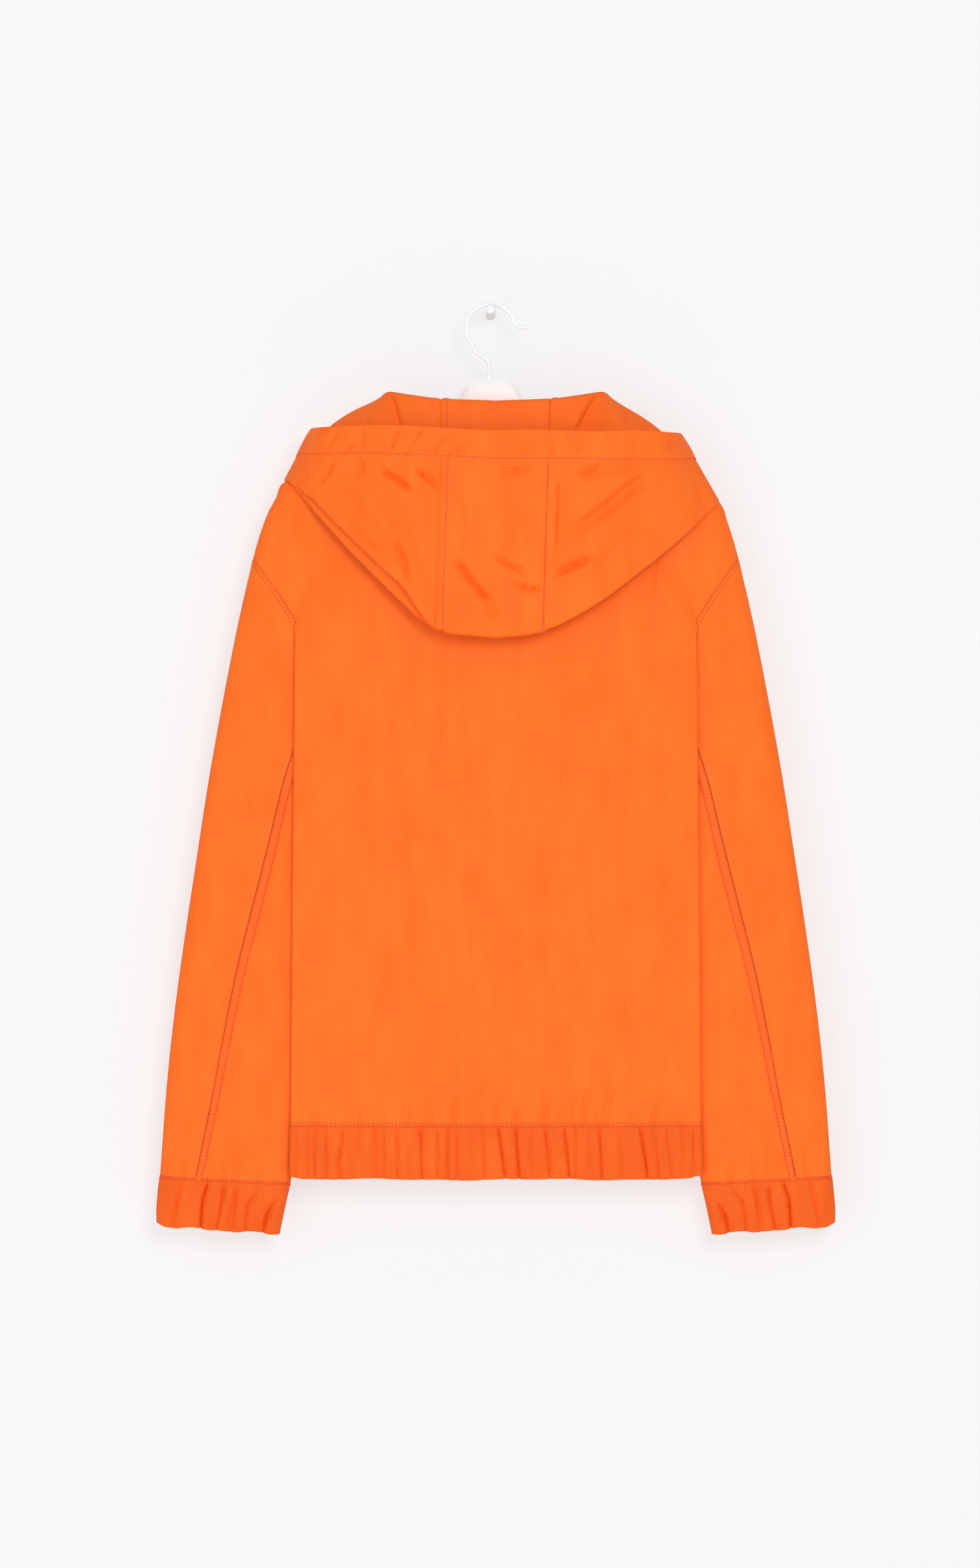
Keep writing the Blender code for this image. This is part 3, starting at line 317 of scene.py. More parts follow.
# Long soft wrinkles down the back, short ones that the elastic draws up from the hem, and two by the right
# shoulder. Each has a depth, a width and a lean (how much one lip stands over the other), then its line as
# (x, z) points.
BACK_FOLDS = (
    (0.88, 4.75, 0.5, (28, -330), (33, -420), (27, -520), (31, -600)),
    (1.05, 5.7, -0.4, (62, -290), (57, -380), (66, -470), (60, -560), (64, -640)),
    (0.88, 4.75, 0.6, (95, -400), (101, -480), (94, -570), (99, -640)),
    (0.8, 5.7, 0.5, (-22, -350), (-27, -450), (-19, -560)),
    (0.7, 4.75, -0.5, (128, -350), (124, -440), (131, -530)),
    (0.7, 6.65, 0.5, (-80, -420), (-74, -520), (-82, -610)),
    (0.7, 4.75, 0.4, (8, -480), (13, -580), (7, -660)),
    (0.61, 5.7, -0.6, (-130, -470), (-124, -560), (-133, -640)),
    (0.88, 3.8, 0.4, (44, -520), (49, -600), (42, -670)),
    (0.88, 3.8, -0.4, (80, -480), (86, -560), (79, -650)),
    (2.28, 2.85, 0.5, (-155, -700), (-157, -712), (-156, -735)),
    (1.76, 2.47, -0.4, (-132, -706), (-133, -735)),
    (2.11, 2.85, 0.4, (-119, -697), (-118, -735)),
    (1.93, 2.66, 0.3, (-97, -704), (-98, -735)),
    (2.46, 3.04, -0.5, (-81, -692), (-80, -708), (-82, -735)),
    (2.11, 2.85, 0.4, (-56, -699), (-57, -735)),
    (2.63, 3.04, -0.5, (-33, -687), (-37, -704), (-41, -735)),
    (2.11, 2.85, 0.5, (-12, -703), (-10, -735)),
    (2.81, 3.23, 0.5, (3, -688), (1, -706), (4, -735)),
    (2.81, 3.04, -0.4, (18, -694), (19, -735)),
    (2.98, 3.42, 0.6, (48, -681), (45, -700), (42, -735)),
    (2.28, 2.85, -0.4, (57, -698), (58, -735)),
    (2.81, 3.23, 0.5, (71, -690), (70, -735)),
    (3.16, 3.61, -0.6, (86, -676), (79, -690), (75, -706), (76, -735)),
    (2.46, 2.85, 0.4, (91, -694), (92, -735)),
    (3.16, 3.8, 0.6, (106, -676), (101, -692), (98, -712), (97, -735)),
    (2.11, 2.85, -0.3, (119, -699), (120, -735)),
    (2.63, 3.23, -0.5, (145, -690), (140, -706), (137, -735)),
    (1.93, 2.85, 0.4, (163, -702), (164, -735)),
    (2.2, 3.0, 0.5, (142, -216), (139, -238), (137, -260)),
    (1.6, 4.0, -0.4, (130, -228), (125, -248), (122, -268)),
)
FRONT_FOLDS = (
    (0.6, 6, 0.5, (50, -300), (56, -400), (48, -510), (53, -600)),
    (0.5, 6, -0.5, (96, -340), (103, -450), (95, -560)),
    (0.5, 5, 0.4, (135, -390), (129, -500), (136, -610)),
    (0.6, 5, 0.5, (24, -420), (29, -540), (22, -640)),
    (1.2, 3.0, 0.5, (26, -696), (25, -735)),
    (1.4, 3.2, -0.5, (44, -688), (41, -735)),
    (1.2, 3.0, 0.4, (60, -700), (61, -735)),
    (1.5, 3.4, -0.5, (83, -684), (79, -704), (80, -735)),
    (1.2, 3.0, 0.5, (101, -698), (99, -735)),
    (1.4, 3.4, 0.5, (124, -690), (121, -735)),
    (1.2, 3.0, -0.4, (148, -697), (150, -735)),
    (1.0, 2.8, 0.4, (166, -704), (165, -735)),
)


def ease(t):
    """0 to 1 with level ends."""
    t = np.clip(t, 0.0, 1.0)
    return t * t * (3 - 2 * t)


def lengths_along(line):
    """How far along the line each of its points lies."""
    return np.concatenate(([0.0], np.cumsum(np.linalg.norm(np.diff(line, axis=0), axis=1))))


def along(line, wanted):
    """The points of the line at the wanted distances from its start."""
    far = lengths_along(line)
    return np.stack([np.interp(wanted, far, line[:, k]) for k in range(line.shape[1])], 1)


def top_height(x, face):
    """Height of the body's top edge: the neck opening, then the shoulder."""
    rise = np.sqrt(np.maximum(0.0, 1 - (x / NECK_HALF) ** 2))
    neck = NECK_POINT + (NECK_Z[face] - NECK_POINT) * rise ** 1.5
    return np.where(x < NECK_HALF, neck, np.interp(x, SHOULDER["x"], SHOULDER["z"]))


def body_line(z, face):
    """Half of the body at one height, from its middle to its side seam or armhole, as (x, depth) points,
    and the lengths along it to the side fold, to that fold's end and to the turn at the seam."""
    edge, deep, fold, tuck = (np.interp(z, BODY["z"], BODY[name]) for name in ("edge", face, "fold", "tuck"))
    grown = float(ease((FOLD_TOP - z) / FOLD_GROWS))
    seam = fold - tuck
    fold -= FOLD_R * min(1.0, 2 * grown)
    end = seam
    if z > UNDERARM:
        end = np.interp(z, ARMHOLE["z"], ARMHOLE["x"])
        seam = UNDERARM_X
    if z >= FOLD_TOP:
        fold = end
    share = np.linspace(0, 1, 61)
    line = np.stack((fold * share, deep + (edge - deep) * share ** 2), 1)
    start = lengths_along(line)[-1]
    if z >= FOLD_TOP:
        return line, start, start, start
    angle = np.linspace(0, pi * grown, 21)[1:]
    line = np.concatenate((line, np.stack((fold + FOLD_R * np.sin(angle),
                                           edge - FOLD_R * (1 - np.cos(angle))), 1)))
    folded = turned = lengths_along(line)[-1]
    slot = edge - 2 * FOLD_R
    if angle[-1] > pi - 0.01:
        line = np.concatenate((line, [(max(end, seam + TURN), slot)]))
        turned = lengths_along(line)[-1]
    if end < seam + TURN:
        angle = np.linspace(0, asin(min(1.0, (seam + TURN - end) / TURN)), 21)[1:]
        turn_y = np.maximum(EDGE_Y, slot * np.cos(angle))
        line = np.concatenate((line, np.stack((seam + TURN - TURN * np.sin(angle), turn_y), 1)))
    return line, start, folded, turned


def body_cells(z, face, across):
    """The body at one height cut into cells, as shares of the open part and (x, depth) points."""
    line, open_part, folded, turned = body_line(z, face)
    total = lengths_along(line)[-1]
    start = min(open_part, total - 3)
    folded = start + min(max(folded - start, 1), (total - start) * 0.5)
    turned = total - max(total - max(turned, folded), (total - folded) * 0.35)
    wanted = np.concatenate((start * across, np.linspace(start, folded, 8)[1:],
                             np.linspace(folded, turned, 7)[1:], np.linspace(turned, total, 8)[1:]))
    return np.minimum(1.0, wanted / open_part), along(line, wanted)


def body_points(share, flat, down, z, face):
    """The body's points at one row, given its shares and how far down the armhole the row ends."""
    high = top_height(ARMHOLE_TOP[0] * share, face)
    height = high + (UNDERARM - high) * down if z >= UNDERARM else np.full(len(share), z)
    below = np.clip((high - height) / ROOF, 0, 1)
    rise = np.sqrt(np.maximum(0.0, 1 - (ARMHOLE_TOP[0] * share / NECK_HALF) ** 2))
    edge_y = np.maximum(EDGE_Y, NECK_DEEP[face] * rise ** 0.6)
    roof = np.sqrt(1 - (1 - below) ** 2)
    return np.stack((flat[:, 0], FACES[face] * (edge_y + (flat[:, 1] - edge_y) * roof), height), 1)


def body_grid(face, across, high_rows, low_rows):
    """Half of the back or one front from its top edge to the hem band, and each point's share across. The
    rows above the underarm lie closer together towards the shoulder."""
    rows, shares = [], []
    for down in np.linspace(0, 1, high_rows) ** 1.35:
        z = ARMHOLE_TOP[1] + (UNDERARM - ARMHOLE_TOP[1]) * down
        share, flat = body_cells(z, face, across)
        rows.append(body_points(share, flat, down, z, face))
        shares.append(share)
    for z in np.linspace(UNDERARM, HEM_SEAM, low_rows)[1:]:
        share, flat = body_cells(z, face, across)
        rows.append(body_points(share, flat, 1.0, z, face))
        shares.append(share)
    return np.array(rows), np.array(shares)


def facing(grid, outward, closed=False):
    """The way the cloth faces at each point of its grid; outward turns all of them over if it is -1."""
    if closed:
        around = np.roll(grid, -1, axis=1) - np.roll(grid, 1, axis=1)
    else:
        around = np.gradient(grid, axis=1)
    out = np.cross(around, np.gradient(grid, axis=0)) * outward
    return out / np.maximum(np.linalg.norm(out, axis=2), 1e-9)[:, :, None]


def folds(x, z, rows):
    """How far the cloth stands out at each (x, z), given rows of (deep, wide, lean, line). A fold is a
    groove, fades at both ends of its line, and has one lip raised and the other lowered by its lean."""
    out = np.zeros_like(x)
    for deep, wide, lean, *line in rows:
        line = np.array(line, float)
        if len(line) > 2:
            line = curve(line, np.linspace(0, len(line) - 1, 4 * len(line) - 3))
        far = lengths_along(line)
        near = np.full_like(x, 1e9)
        side = np.zeros_like(x)
        share = np.zeros_like(x)
        for k, (a, b) in enumerate(zip(line, line[1:])):
            run = b - a
            f = np.clip(((x - a[0]) * run[0] + (z - a[1]) * run[1]) / (run @ run), 0, 1)
            off_x, off_z = x - a[0] - f * run[0], z - a[1] - f * run[1]
            away = np.hypot(off_x, off_z)
            closer = away < near
            near = np.where(closer, away, near)
            side = np.where(closer, np.sign(run[0] * off_z - run[1] * off_x), side)
            share = np.where(closer, (far[k] + f * (far[k + 1] - far[k])) / far[-1], share)
        s = near / wide
        fade = ease(np.minimum(share, 1 - share) / 0.3)
        out -= deep * fade * (np.exp(-s ** 1.4) - 1.7 * lean * side * s * np.exp(-s * s))
    return out


def ripple(run, seed):
    """An uneven ripple from -1 to 1 along a seam, given how far along it each point lies."""
    waves = ((7.3, 0.0), (11.9, 1.7), (5.1, 4.0))
    return sum(np.sin(run * 2 * pi / long + start + seed) for long, start in waves) / 3


def cloth(name, grid, finish, stands_for=None, closed=False, thickness=CLOTH):
    """A cloth piece on the jacket's body: a thin wall about its grid of points in the jacket's own
    millimetres. It takes the place of the frame's node that it stands for."""
    rows, count = grid.shape[:2]
    out = facing(grid, 1, closed) * thickness / 2
    points = np.concatenate(((grid + out).reshape(-1, 3), (grid - out).reshape(-1, 3)))
    place = np.arange(rows * count).reshape(rows, count)
    after = np.roll(place, -1, axis=1)
    used = slice(None) if closed else slice(0, -1)
    one = np.stack((place[:-1, used], after[:-1, used], after[1:, used], place[1:, used]), -1).reshape(-1, 4)
    under = one[:, ::-1] + rows * count
    rims = [place[0], place[-1][::-1]]
    if not closed:
        rims = [np.concatenate((place[0], place[1:, -1], place[-1, -2::-1], place[-2:0:-1, 0]))]
    faces = [one, under]
    for rim in rims:
        step = np.roll(rim, -1)
        faces.append(np.stack((step, rim, rim + rows * count, step + rows * count), -1))
    made = mesh_object(name, (points + JACKET_PLACE) * MM, np.concatenate(faces), finish, smooth=60)
    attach(made, "jacket")
    if stands_for:
        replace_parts(made, stands_for)
    return made


def nylon(name, light, dark):
    """Plain-woven nylon, dyed in the piece: matt, with a faint silky sheen and a fine crinkle."""
    made, tree, surface = new_material(name)
    place = add_node(tree, "TexCoord", {})
    tall = add_node(tree, "Mapping", {"Vector": place.outputs["Object"], "Scale": (1.0, 1.0, 0.3)})
    cloudy = add_node(tree, "TexNoise", {"Vector": tall.outputs["Vector"], "Scale": 55.0, "Detail": 5.0,
                                         "Roughness": 0.62})
    shade = add_node(tree, "ValToRGB", {"Fac": cloudy.outputs["Fac"]})
    shade.color_ramp.elements[0].position = 0.3
    shade.color_ramp.elements[0].color = colour(dark)
    shade.color_ramp.elements[1].position = 0.72
    shade.color_ramp.elements[1].color = colour(light)
    # The real threads are 0.2 mm apart. They are drawn 1.1 mm apart, the finest that shows.
    thread = pi / 10 / (1.1 * MM)
    warp, weft = (add_node(tree, "TexWave", {"Vector": place.outputs["Object"], "Scale": thread,
                                             "Distortion": 1.2, "Detail": 2.0, "Detail Scale": 0.6},
                           bands_direction=direction) for direction in "XZ")
    weave = add_node(tree, "Math", {0: warp.outputs["Fac"], 1: weft.outputs["Fac"]}, operation="MULTIPLY")
    threads = add_node(tree, "Bump", {"Strength": 0.16, "Distance": 0.12 * MM,
                                      "Height": weave.outputs["Value"]})
    crinkle = add_node(tree, "TexNoise", {"Vector": tall.outputs["Vector"], "Scale": 130.0, "Detail": 4.0,
                                          "Roughness": 0.55, "Distortion": 0.6})
    creased = add_node(tree, "Bump", {"Strength": 0.45, "Distance": 0.5 * MM,
                                      "Height": crinkle.outputs["Fac"], "Normal": threads.outputs["Normal"]})
    cloth_shader = add_node(tree, "BsdfPrincipled", {
        "Base Color": shade.outputs["Color"], "Roughness": 0.62, "IOR": 1.53, "Specular IOR Level": 0.12,
        "Sheen Weight": 0.05, "Sheen Roughness": 0.5, "Sheen Tint": colour("ff9a5c"),
        "Normal": creased.outputs["Normal"]})
    tree.links.new(cloth_shader.outputs["BSDF"], surface)
    return made


body_nylon = nylon("orange nylon of the body", "fd7525", "fa6b1e")


def stitches(name, lines, finish, long=2.6, gap=0.8, thick=0.6):
    """Rows of raised stitches along lines on the cloth, each given as its points and the way they face."""
    shape = np.array([(-1, 0, 0), (-0.55, 0.5, 0.55), (-0.55, -0.5, 0.55), (0.55, 0.5, 0.55),
                      (0.55, -0.5, 0.55), (1, 0, 0), (-0.55, 0.75, 0), (-0.55, -0.75, 0),
                      (0.55, 0.75, 0), (0.55, -0.75, 0)])
    cells = np.array([(0, 1, 2, 2), (1, 3, 4, 2), (3, 5, 4, 4), (0, 6, 1, 1), (0, 2, 7, 7), (6, 8, 3, 1),
                      (2, 4, 9, 7), (8, 5, 3, 3), (4, 5, 9, 9)])
    points, faces = [], []
    for line, out in lines:
        far = lengths_along(line)
        middles = np.arange(long, far[-1] - long, long + gap)
        place = along(line, middles)
        ahead = along(line, middles + 0.5) - along(line, middles - 0.5)
        ahead /= np.linalg.norm(ahead, axis=1)[:, None]
        up = np.stack([np.interp(middles, far, out[:, k]) for k in range(3)], 1)
        up /= np.linalg.norm(up, axis=1)[:, None]
        beside = np.cross(up, ahead)
        for p, a, b, u in zip(place, ahead, beside, up):
            start = len(points) * len(shape)
            across, raised = shape[:, 1:2] * b * thick, shape[:, 2:] * u * thick
            points.append(p + shape[:, :1] * a * long / 2 + across + raised)
            faces += [tuple(dict.fromkeys(cell + start)) for cell in cells]
    made = mesh_object(name, (np.concatenate(points) + JACKET_PLACE) * MM, faces, finish, smooth=80)
    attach(made, "jacket")
    return made


NEAR_EDGE = 40                # rows or columns of a grid that hold the stitches beside its edge


def beside_edge(grid, edge, inset, outward, thickness=CLOTH):
    """A line on the cloth's outer face that runs beside one of its edges, and the way it faces."""
    out = facing(grid, outward)
    grid = grid + out * (thickness / 2)
    if edge in ("first column", "last column"):
        grid, out = grid.transpose(1, 0, 2), out.transpose(1, 0, 2)
    if edge in ("last row", "last column"):
        grid, out = grid[::-1], out[::-1]
    grid, out = grid[:NEAR_EDGE].transpose(1, 0, 2), out[:NEAR_EDGE].transpose(1, 0, 2)
    line, faces = [], []
    for column, normals, reach in zip(grid, out, np.broadcast_to(inset, len(grid))):
        far = lengths_along(column)
        line.append([np.interp(reach, far, column[:, k]) for k in range(3)])
        faces.append([np.interp(reach, far, normals[:, k]) for k in range(3)])
    return np.array(line), np.array(faces)


FILLED = (dict(side=-1, out=8, start=150, grows=32, z=-152, high=13),
          dict(side=1, out=2.6, start=165, grows=28, z=-170, high=11))


def filled_shoulders(grid):
    """The body's grid, with its shoulders filled out by what hangs in them, the left one more."""
    x, z = grid[:, :, 0], grid[:, :, 2]
    moved = x
    for at in FILLED:
        near = np.exp(-((z - at["z"]) / at["high"]) ** 2)
        moved = moved + at["side"] * at["out"] * ease((at["side"] * x - at["start"]) / at["grows"]) * near
    return np.stack((moved, grid[:, :, 1], z), 2)


def open_cloth(shares, z):
    """1 on the open cloth of the body, down to 0 at the side seam or armhole and at the hem seam."""
    return ease((0.995 - shares) / 0.06) * ease((z - HEM_SEAM) / FLAT_BY_SEAM)


def puckers(run, away, seed, reach=9.0):
    """The small gathers beside a seam, given how far along and how far from it each point lies."""
    return ripple(run, seed) * np.exp(-away / reach) * PUCKER


across = np.linspace(0, 1, 95)
half, shares = body_grid("back", across, 90, 100)
both = filled_shoulders(np.concatenate((half[:, ::-1], (half * (-1, 1, 1))[:, 1:]), axis=1))
shares = np.concatenate((shares[:, ::-1], shares[:, 1:]), axis=1)
x, y, z = both.transpose(2, 0, 1)
lifted = (folds(x, z, BACK_FOLDS) + puckers(x, z - HEM_SEAM, 0.4)) * open_cloth(shares, z)
back_grid = both + facing(both, 1) * lifted[:, :, None]
back = cloth("back", back_grid, body_nylon, "back_panel")

# The fronts start beside the zip's coil, and lie flat there.
ZIP_HALF = 4.5
ZIP_FLAT = 8.0
front_grids = {}
for name, side in SIDES:
    across = np.linspace(ZIP_HALF / ARMHOLE_TOP[0], 1, 66)
    half, shares = body_grid("front", across, 52, 60)
    x, y, z = half.transpose(2, 0, 1)
    lifted = folds(x, z, FRONT_FOLDS) + puckers(x, z - HEM_SEAM, 2.0 + side)
    lifted *= open_cloth(shares, z) * ease((x - ZIP_FLAT) / 12)
    half = half + facing(half, 1) * lifted[:, :, None]
    front_grids[side] = filled_shoulders(half * (side, 1, 1))
    front = cloth(f"front_{name}_cloth", front_grids[side], body_nylon, "front_" + name)

thread = speckled("orange polyester thread", "dd4119", "ec5224", {"Scale": 900.0, "Detail": 1.0},
                  {"Roughness": 0.55, "IOR": 1.55, "Specular IOR Level": 0.3})


# The sleeves: two pieces each. The outer piece wraps the arm's outside, and both seams are felled: the
# elbow seam's flat band, held by two rows of stitches, runs down the back of the arm.
ELBOW_BAND = ((0, 9.5), (4, 9.5), (6, 7.5), (8, 5.7))     # rows down the sleeve, and the band's width
# Across the band, its height at shares of its width. Its two rows of stitches stand by its edges.
BAND_HIGH = 0.95
BAND_PROFILE = ((0.02, 0.35), (0.12, 0.75), (0.35, BAND_HIGH), (0.65, BAND_HIGH), (0.88, 0.75), (0.98, 0.35))
BAND_STITCHES = (0.1, 0.9)
BAND_STARTS = 0.4             # rows down the sleeve, out of sight under the back's side fold
FRONT_SEAM = 0.78
ROUND_SHARE = 0.16            # each round edge's share of the sleeve's width
UNDER_FOLD = 1.9              # how far the sleeve starts under the body's folded-in layer
UNDER_TURN = 2.2
SEAM = 0.3                    # between two pieces in the frame
SEAM_LINE = 0.08              # what is left open to the eye where two pieces are sewn edge to edge
SLEEVE_LAST = 8
SLEEVE_STEP = 78.0            # length of sleeve between two rows of its table
SLEEVE = table(
    "outer_x outer_z inner_x inner_z depth elbow",
    (213.8, -220, 100.0, -408, 13.0, 0.52), (226.6, -275, 110.5, -455, 12.7, 0.49),
    (240.2, -344, 120.6, -500, 12.3, 0.45), (252.4, -412, 130.0, -545, 12.0, 0.43),
    (263.1, -481, 140.0, -590, 11.6, 0.40), (273.4, -549, 149.8, -632, 11.2, 0.37),
    (282.8, -618, 160.0, -676, 10.7, 0.352), (290.0, -686, 170.6, -722, 10.2, 0.33),
    (295.8, -764.5, 181.8, -770, 9.8, 0.276),
)
SLEEVE_FOLDS = (
    (0.91, 7, 0.5, (222, -330), (240, -440), (252, -540)),
    (0.91, 8, -0.5, (204, -340), (222, -470), (238, -600)),
    (0.73, 6, 0.4, (262, -560), (270, -650), (278, -720)),
    (0.91, 7, 0.5, (186, -420), (200, -530), (210, -640)),
    (0.91, 6, -0.4, (240, -610), (247, -680), (250, -735)),
    (1.46, 4, 0.4, (196, -262), (206, -276), (213, -296)),
    (1.27, 4, -0.4, (184, -282), (196, -300), (203, -322)),
    (1.64, 3.2, 0.4, (284, -746), (285, -778)),
    (1.82, 3.2, -0.4, (272, -740), (274, -778)),
    (2.18, 3.4, 0.5, (253, -737), (251, -778)),
    (2, 3.2, 0.5, (242, -742), (240, -778)),
    (2.37, 3.6, -0.5, (225, -735), (228, -778)),
    (1.82, 3, 0.4, (209, -746), (208, -780)),
    (1.64, 3, 0.3, (195, -750), (193, -784)),
)
SLEEVE_FRONT_FOLDS = (
    (0.5, 8, 0.5, (214, -330), (232, -450), (246, -570)),
    (0.5, 7, -0.5, (168, -400), (188, -520), (202, -640)),
    (0.5, 6, 0.4, (258, -590), (268, -680), (274, -740)),
    (1.0, 3.2, 0.4, (278, -742), (279, -778)),
    (1.2, 3.4, -0.5, (258, -738), (260, -778)),
    (1.1, 3.2, 0.5, (236, -744), (234, -778)),
    (1.2, 3.4, 0.4, (214, -740), (215, -780)),
)


def row_at(sizes, t):
    """Each named size of a table at row t."""
    return {name: float(curve(values, t)) for name, values in sizes.items()}


def edge_points(at):
    """The outer and the inner edge of a sleeve or a cuff, from a row of its table."""
    return np.array((at["outer_x"], 0, at["outer_z"])), np.array((at["inner_x"], 0, at["inner_z"]))


def armhole_start(shares, face):
    """Where the sleeve begins: just past the body's edge, or under the body's folded-in layer."""
    found = []
    for share in shares:
        z = ARMHOLE_TOP[1] + (UNDERARM - ARMHOLE_TOP[1]) * share
        line = body_line(z, face)[0]
        x, y, z = body_points(np.ones(1), line[-1:], share, z, face)[0]
        hidden = float(ease((FOLD_TOP + 3 - z) / 12))
        turned = asin(min(1.0, max(0.0, (UNDERARM_X + TURN - x) / TURN)))
        inward = np.array((np.sin(turned), -FACES[face] * np.cos(turned), 0))
        inward *= UNDER_FOLD + UNDER_TURN * sqrt(np.sin(turned))
        out = np.array((0.86, 0, -0.51)) * SEAM
        found.append((x, y, z) + out + (inward - out) * hidden)
    return np.array(found)


def sleeve_row(t, shares, starts):
    """A row of the right sleeve on one face, and how far in from the sleeve's round edges each point is."""
    face, start_shares, start = starts
    at = row_at(SLEEVE, t)
    outer, inner = edge_points(at)
    points = outer + (inner - outer) * shares[:, None]
    inside = np.clip(np.minimum(shares, 1 - shares) / ROUND_SHARE, 0, 1)
    points[:, 1] = FACES[face] * at["depth"] * np.sqrt(1 - (1 - inside) ** 2)
    if t < 1:
        first = np.stack([np.interp(shares, start_shares, start[:, k]) for k in range(3)], 1)
        points = first + (points - first) * float(ease(t))
    return points, inside * float(ease(t / 0.25))


def round_shares(count):
    """Shares of the width over a round edge, from the edge to the flat."""
    return ROUND_SHARE * (1 - np.cos(pi / 2 * np.linspace(0, 1, count)))


start_shares = np.linspace(0, 1, 160)
starts = {face: (face, start_shares, armhole_start(start_shares, face)) for face in FACES}
seam_nylon = nylon("orange nylon of the felled seams", "fd6d28", "f96320")
cloth_rows = {"top": [], "under": []}
places = np.concatenate((np.linspace(0, 1, 30)[:-1], np.linspace(1, SLEEVE_LAST, 150)))
for t in places:
    at = row_at(SLEEVE, t)
    elbow, trim = at["elbow"], SEAM / 2 / (at["outer_x"] - at["inner_x"])
    edge = round_shares(11)
    top_back = np.concatenate((np.linspace(elbow - trim, ROUND_SHARE, 28), edge[::-1][1:]))
    top_front = np.concatenate((edge[1:], np.linspace(ROUND_SHARE, FRONT_SEAM - trim, 40)[1:]))
    under_front = np.concatenate(([FRONT_SEAM + trim], 1 - edge[::-1]))
    under_back = np.concatenate((1 - edge[1:], np.linspace(1 - ROUND_SHARE, elbow + trim, 34)[1:]))
    for name, parts in (("top", (("back", top_back), ("front", top_front))),
                        ("under", (("front", under_front), ("back", under_back)))):
        made = [sleeve_row(t, shares, starts[face]) for face, shares in parts]
        cloth_rows[name].append((np.concatenate([m[0] for m in made]), np.concatenate([m[1] for m in made])))

sleeve_grids = {}
for name, rows in cloth_rows.items():
    grid = np.array([row for row, inside in rows])
    inside = np.array([inside for row, inside in rows])
    x, y, z = grid.transpose(2, 0, 1)
    lifted = np.where(y < 0, folds(x, z, SLEEVE_FOLDS), folds(x, z, SLEEVE_FRONT_FOLDS))
    lifted += puckers(x, z + 766, 1.1, reach=8)
    lifted *= ease((SLEEVE_LAST - places[:, None]) * SLEEVE_STEP / FLAT_BY_SEAM)
    sleeve_grids[name] = grid + facing(grid, -1) * (lifted * inside)[:, :, None]

for name, side in SIDES:
    for part, grid in sleeve_grids.items():
        node = f"sleeve_{part}_{name}"
        cloth(node + "_cloth", grid * (side, 1, 1), body_nylon, node)
    under = sleeve_grids["under"] * (side, 1, 1)
    top = sleeve_grids["top"] * (side, 1, 1)
    shown = places > BAND_STARTS
    wide = np.interp(places, *np.array(ELBOW_BAND).T)
    ridges = 0.3 * ripple(lengths_along(under[:, -1]) * 2.2, side)
    strip = []
    for share, high in BAND_PROFILE:
        line, out = beside_edge(under, "last column", wide * share, -side)
        strip.append(line + out * (high + ridges * (high > 0.5))[:, None])
    strip = np.array(strip).transpose(1, 0, 2)[shown]
    band = cloth("elbow_band_" + name, strip, seam_nylon, thickness=0.5)
    sewn = []
    for share in BAND_STITCHES:
        line, out = beside_edge(under, "last column", wide * share, -side)
        sewn.append((line[shown] + out[shown] * BAND_HIGH, out[shown]))
    elbow_sewing = stitches("elbow_stitches_" + name, sewn, thread)
    sewn = [beside_edge(top, "last column", 1.6, -side)]
    body_edge, body_out = beside_edge(back_grid, "first column" if side > 0 else "last column", 1.5, 1)
    seen = body_edge[:, 2] > FOLD_TOP - 4
    sewn.append((body_edge[seen], body_out[seen]))
    arm_edge, arm_out = beside_edge(top, "first row", 3.2, -side)
    seen = arm_edge[:, 1] < 0
    sewn.append((arm_edge[seen], arm_out[seen]))
    armhole_sewing = stitches("armhole_stitches_" + name, sewn, thread)


# The hem band: doubled nylon over elastic, joined to the body by two rows of stitches. The elastic draws
# it up into uneven upright folds, sharp at the bottom of each.
HEM = -765.0
HEM_HALF = 179.0
BAND_CLOTH = 1.9              # doubled cloth with elastic in it


def gathers(top, low, *rows):
    """Folds from one height to another, given rows of (deep, wide, lean, x at the top, x at the bottom)."""
    return [(deep, wide, lean, (x, top), (low_x, low)) for deep, wide, lean, x, low_x in rows]


HEM_FOLDS = gathers(
    -702, -784,
    (1.8, 1.9, 0.4, -176, -176), (1.35, 1.8, -0.4, -167, -165), (1.65, 2, 0.5, -158, -159),
    (1.95, 2, -0.5, -151, -149), (1.95, 2, -0.4, -107, -106), (1.65, 2, 0.5, -98, -98),
    (1.95, 2.1, -0.5, -88, -86), (2.25, 2.2, 0.5, -66, -64), (1.95, 2, -0.5, -52, -51),
    (2.1, 2, 0.5, -41, -42), (1.65, 1.8, -0.4, -34, -35), (1.95, 2, 0.4, -10, -10),
    (3.3, 2.2, -0.7, -1, 10), (3.15, 2.1, 0.7, 17, 23), (2.55, 2.2, -0.5, 41, 49), (3, 2.1, 0.7, 59, 68),
    (1.65, 1.8, 0.4, 71, 70), (2.25, 2, 0.5, 91, 95), (3, 2.2, -0.7, 123, 136), (1.95, 2, 0.5, 138, 146),
    (1.95, 2, -0.5, 148, 156), (1.8, 1.9, 0.4, 174, 174),
) + [
    (2.55, 2.2, 0.5, (-138, -700), (-134, -730), (-137, -750), (-133, -784)),
    (1.05, 2, 0.4, (-120, -706), (-121, -752)), (1.2, 1.8, 0.4, (-76, -724), (-77, -784)),
    (1.05, 2, 0.4, (-22, -706), (-21, -756)), (1.35, 2, 0.4, (31, -712), (33, -770)),
    (1.2, 2, -0.4, (81, -702), (82, -758)), (1.35, 2, 0.4, (109, -712), (112, -784)),
    (1.35, 1.8, 0.4, (164, -706), (166, -784)),
]
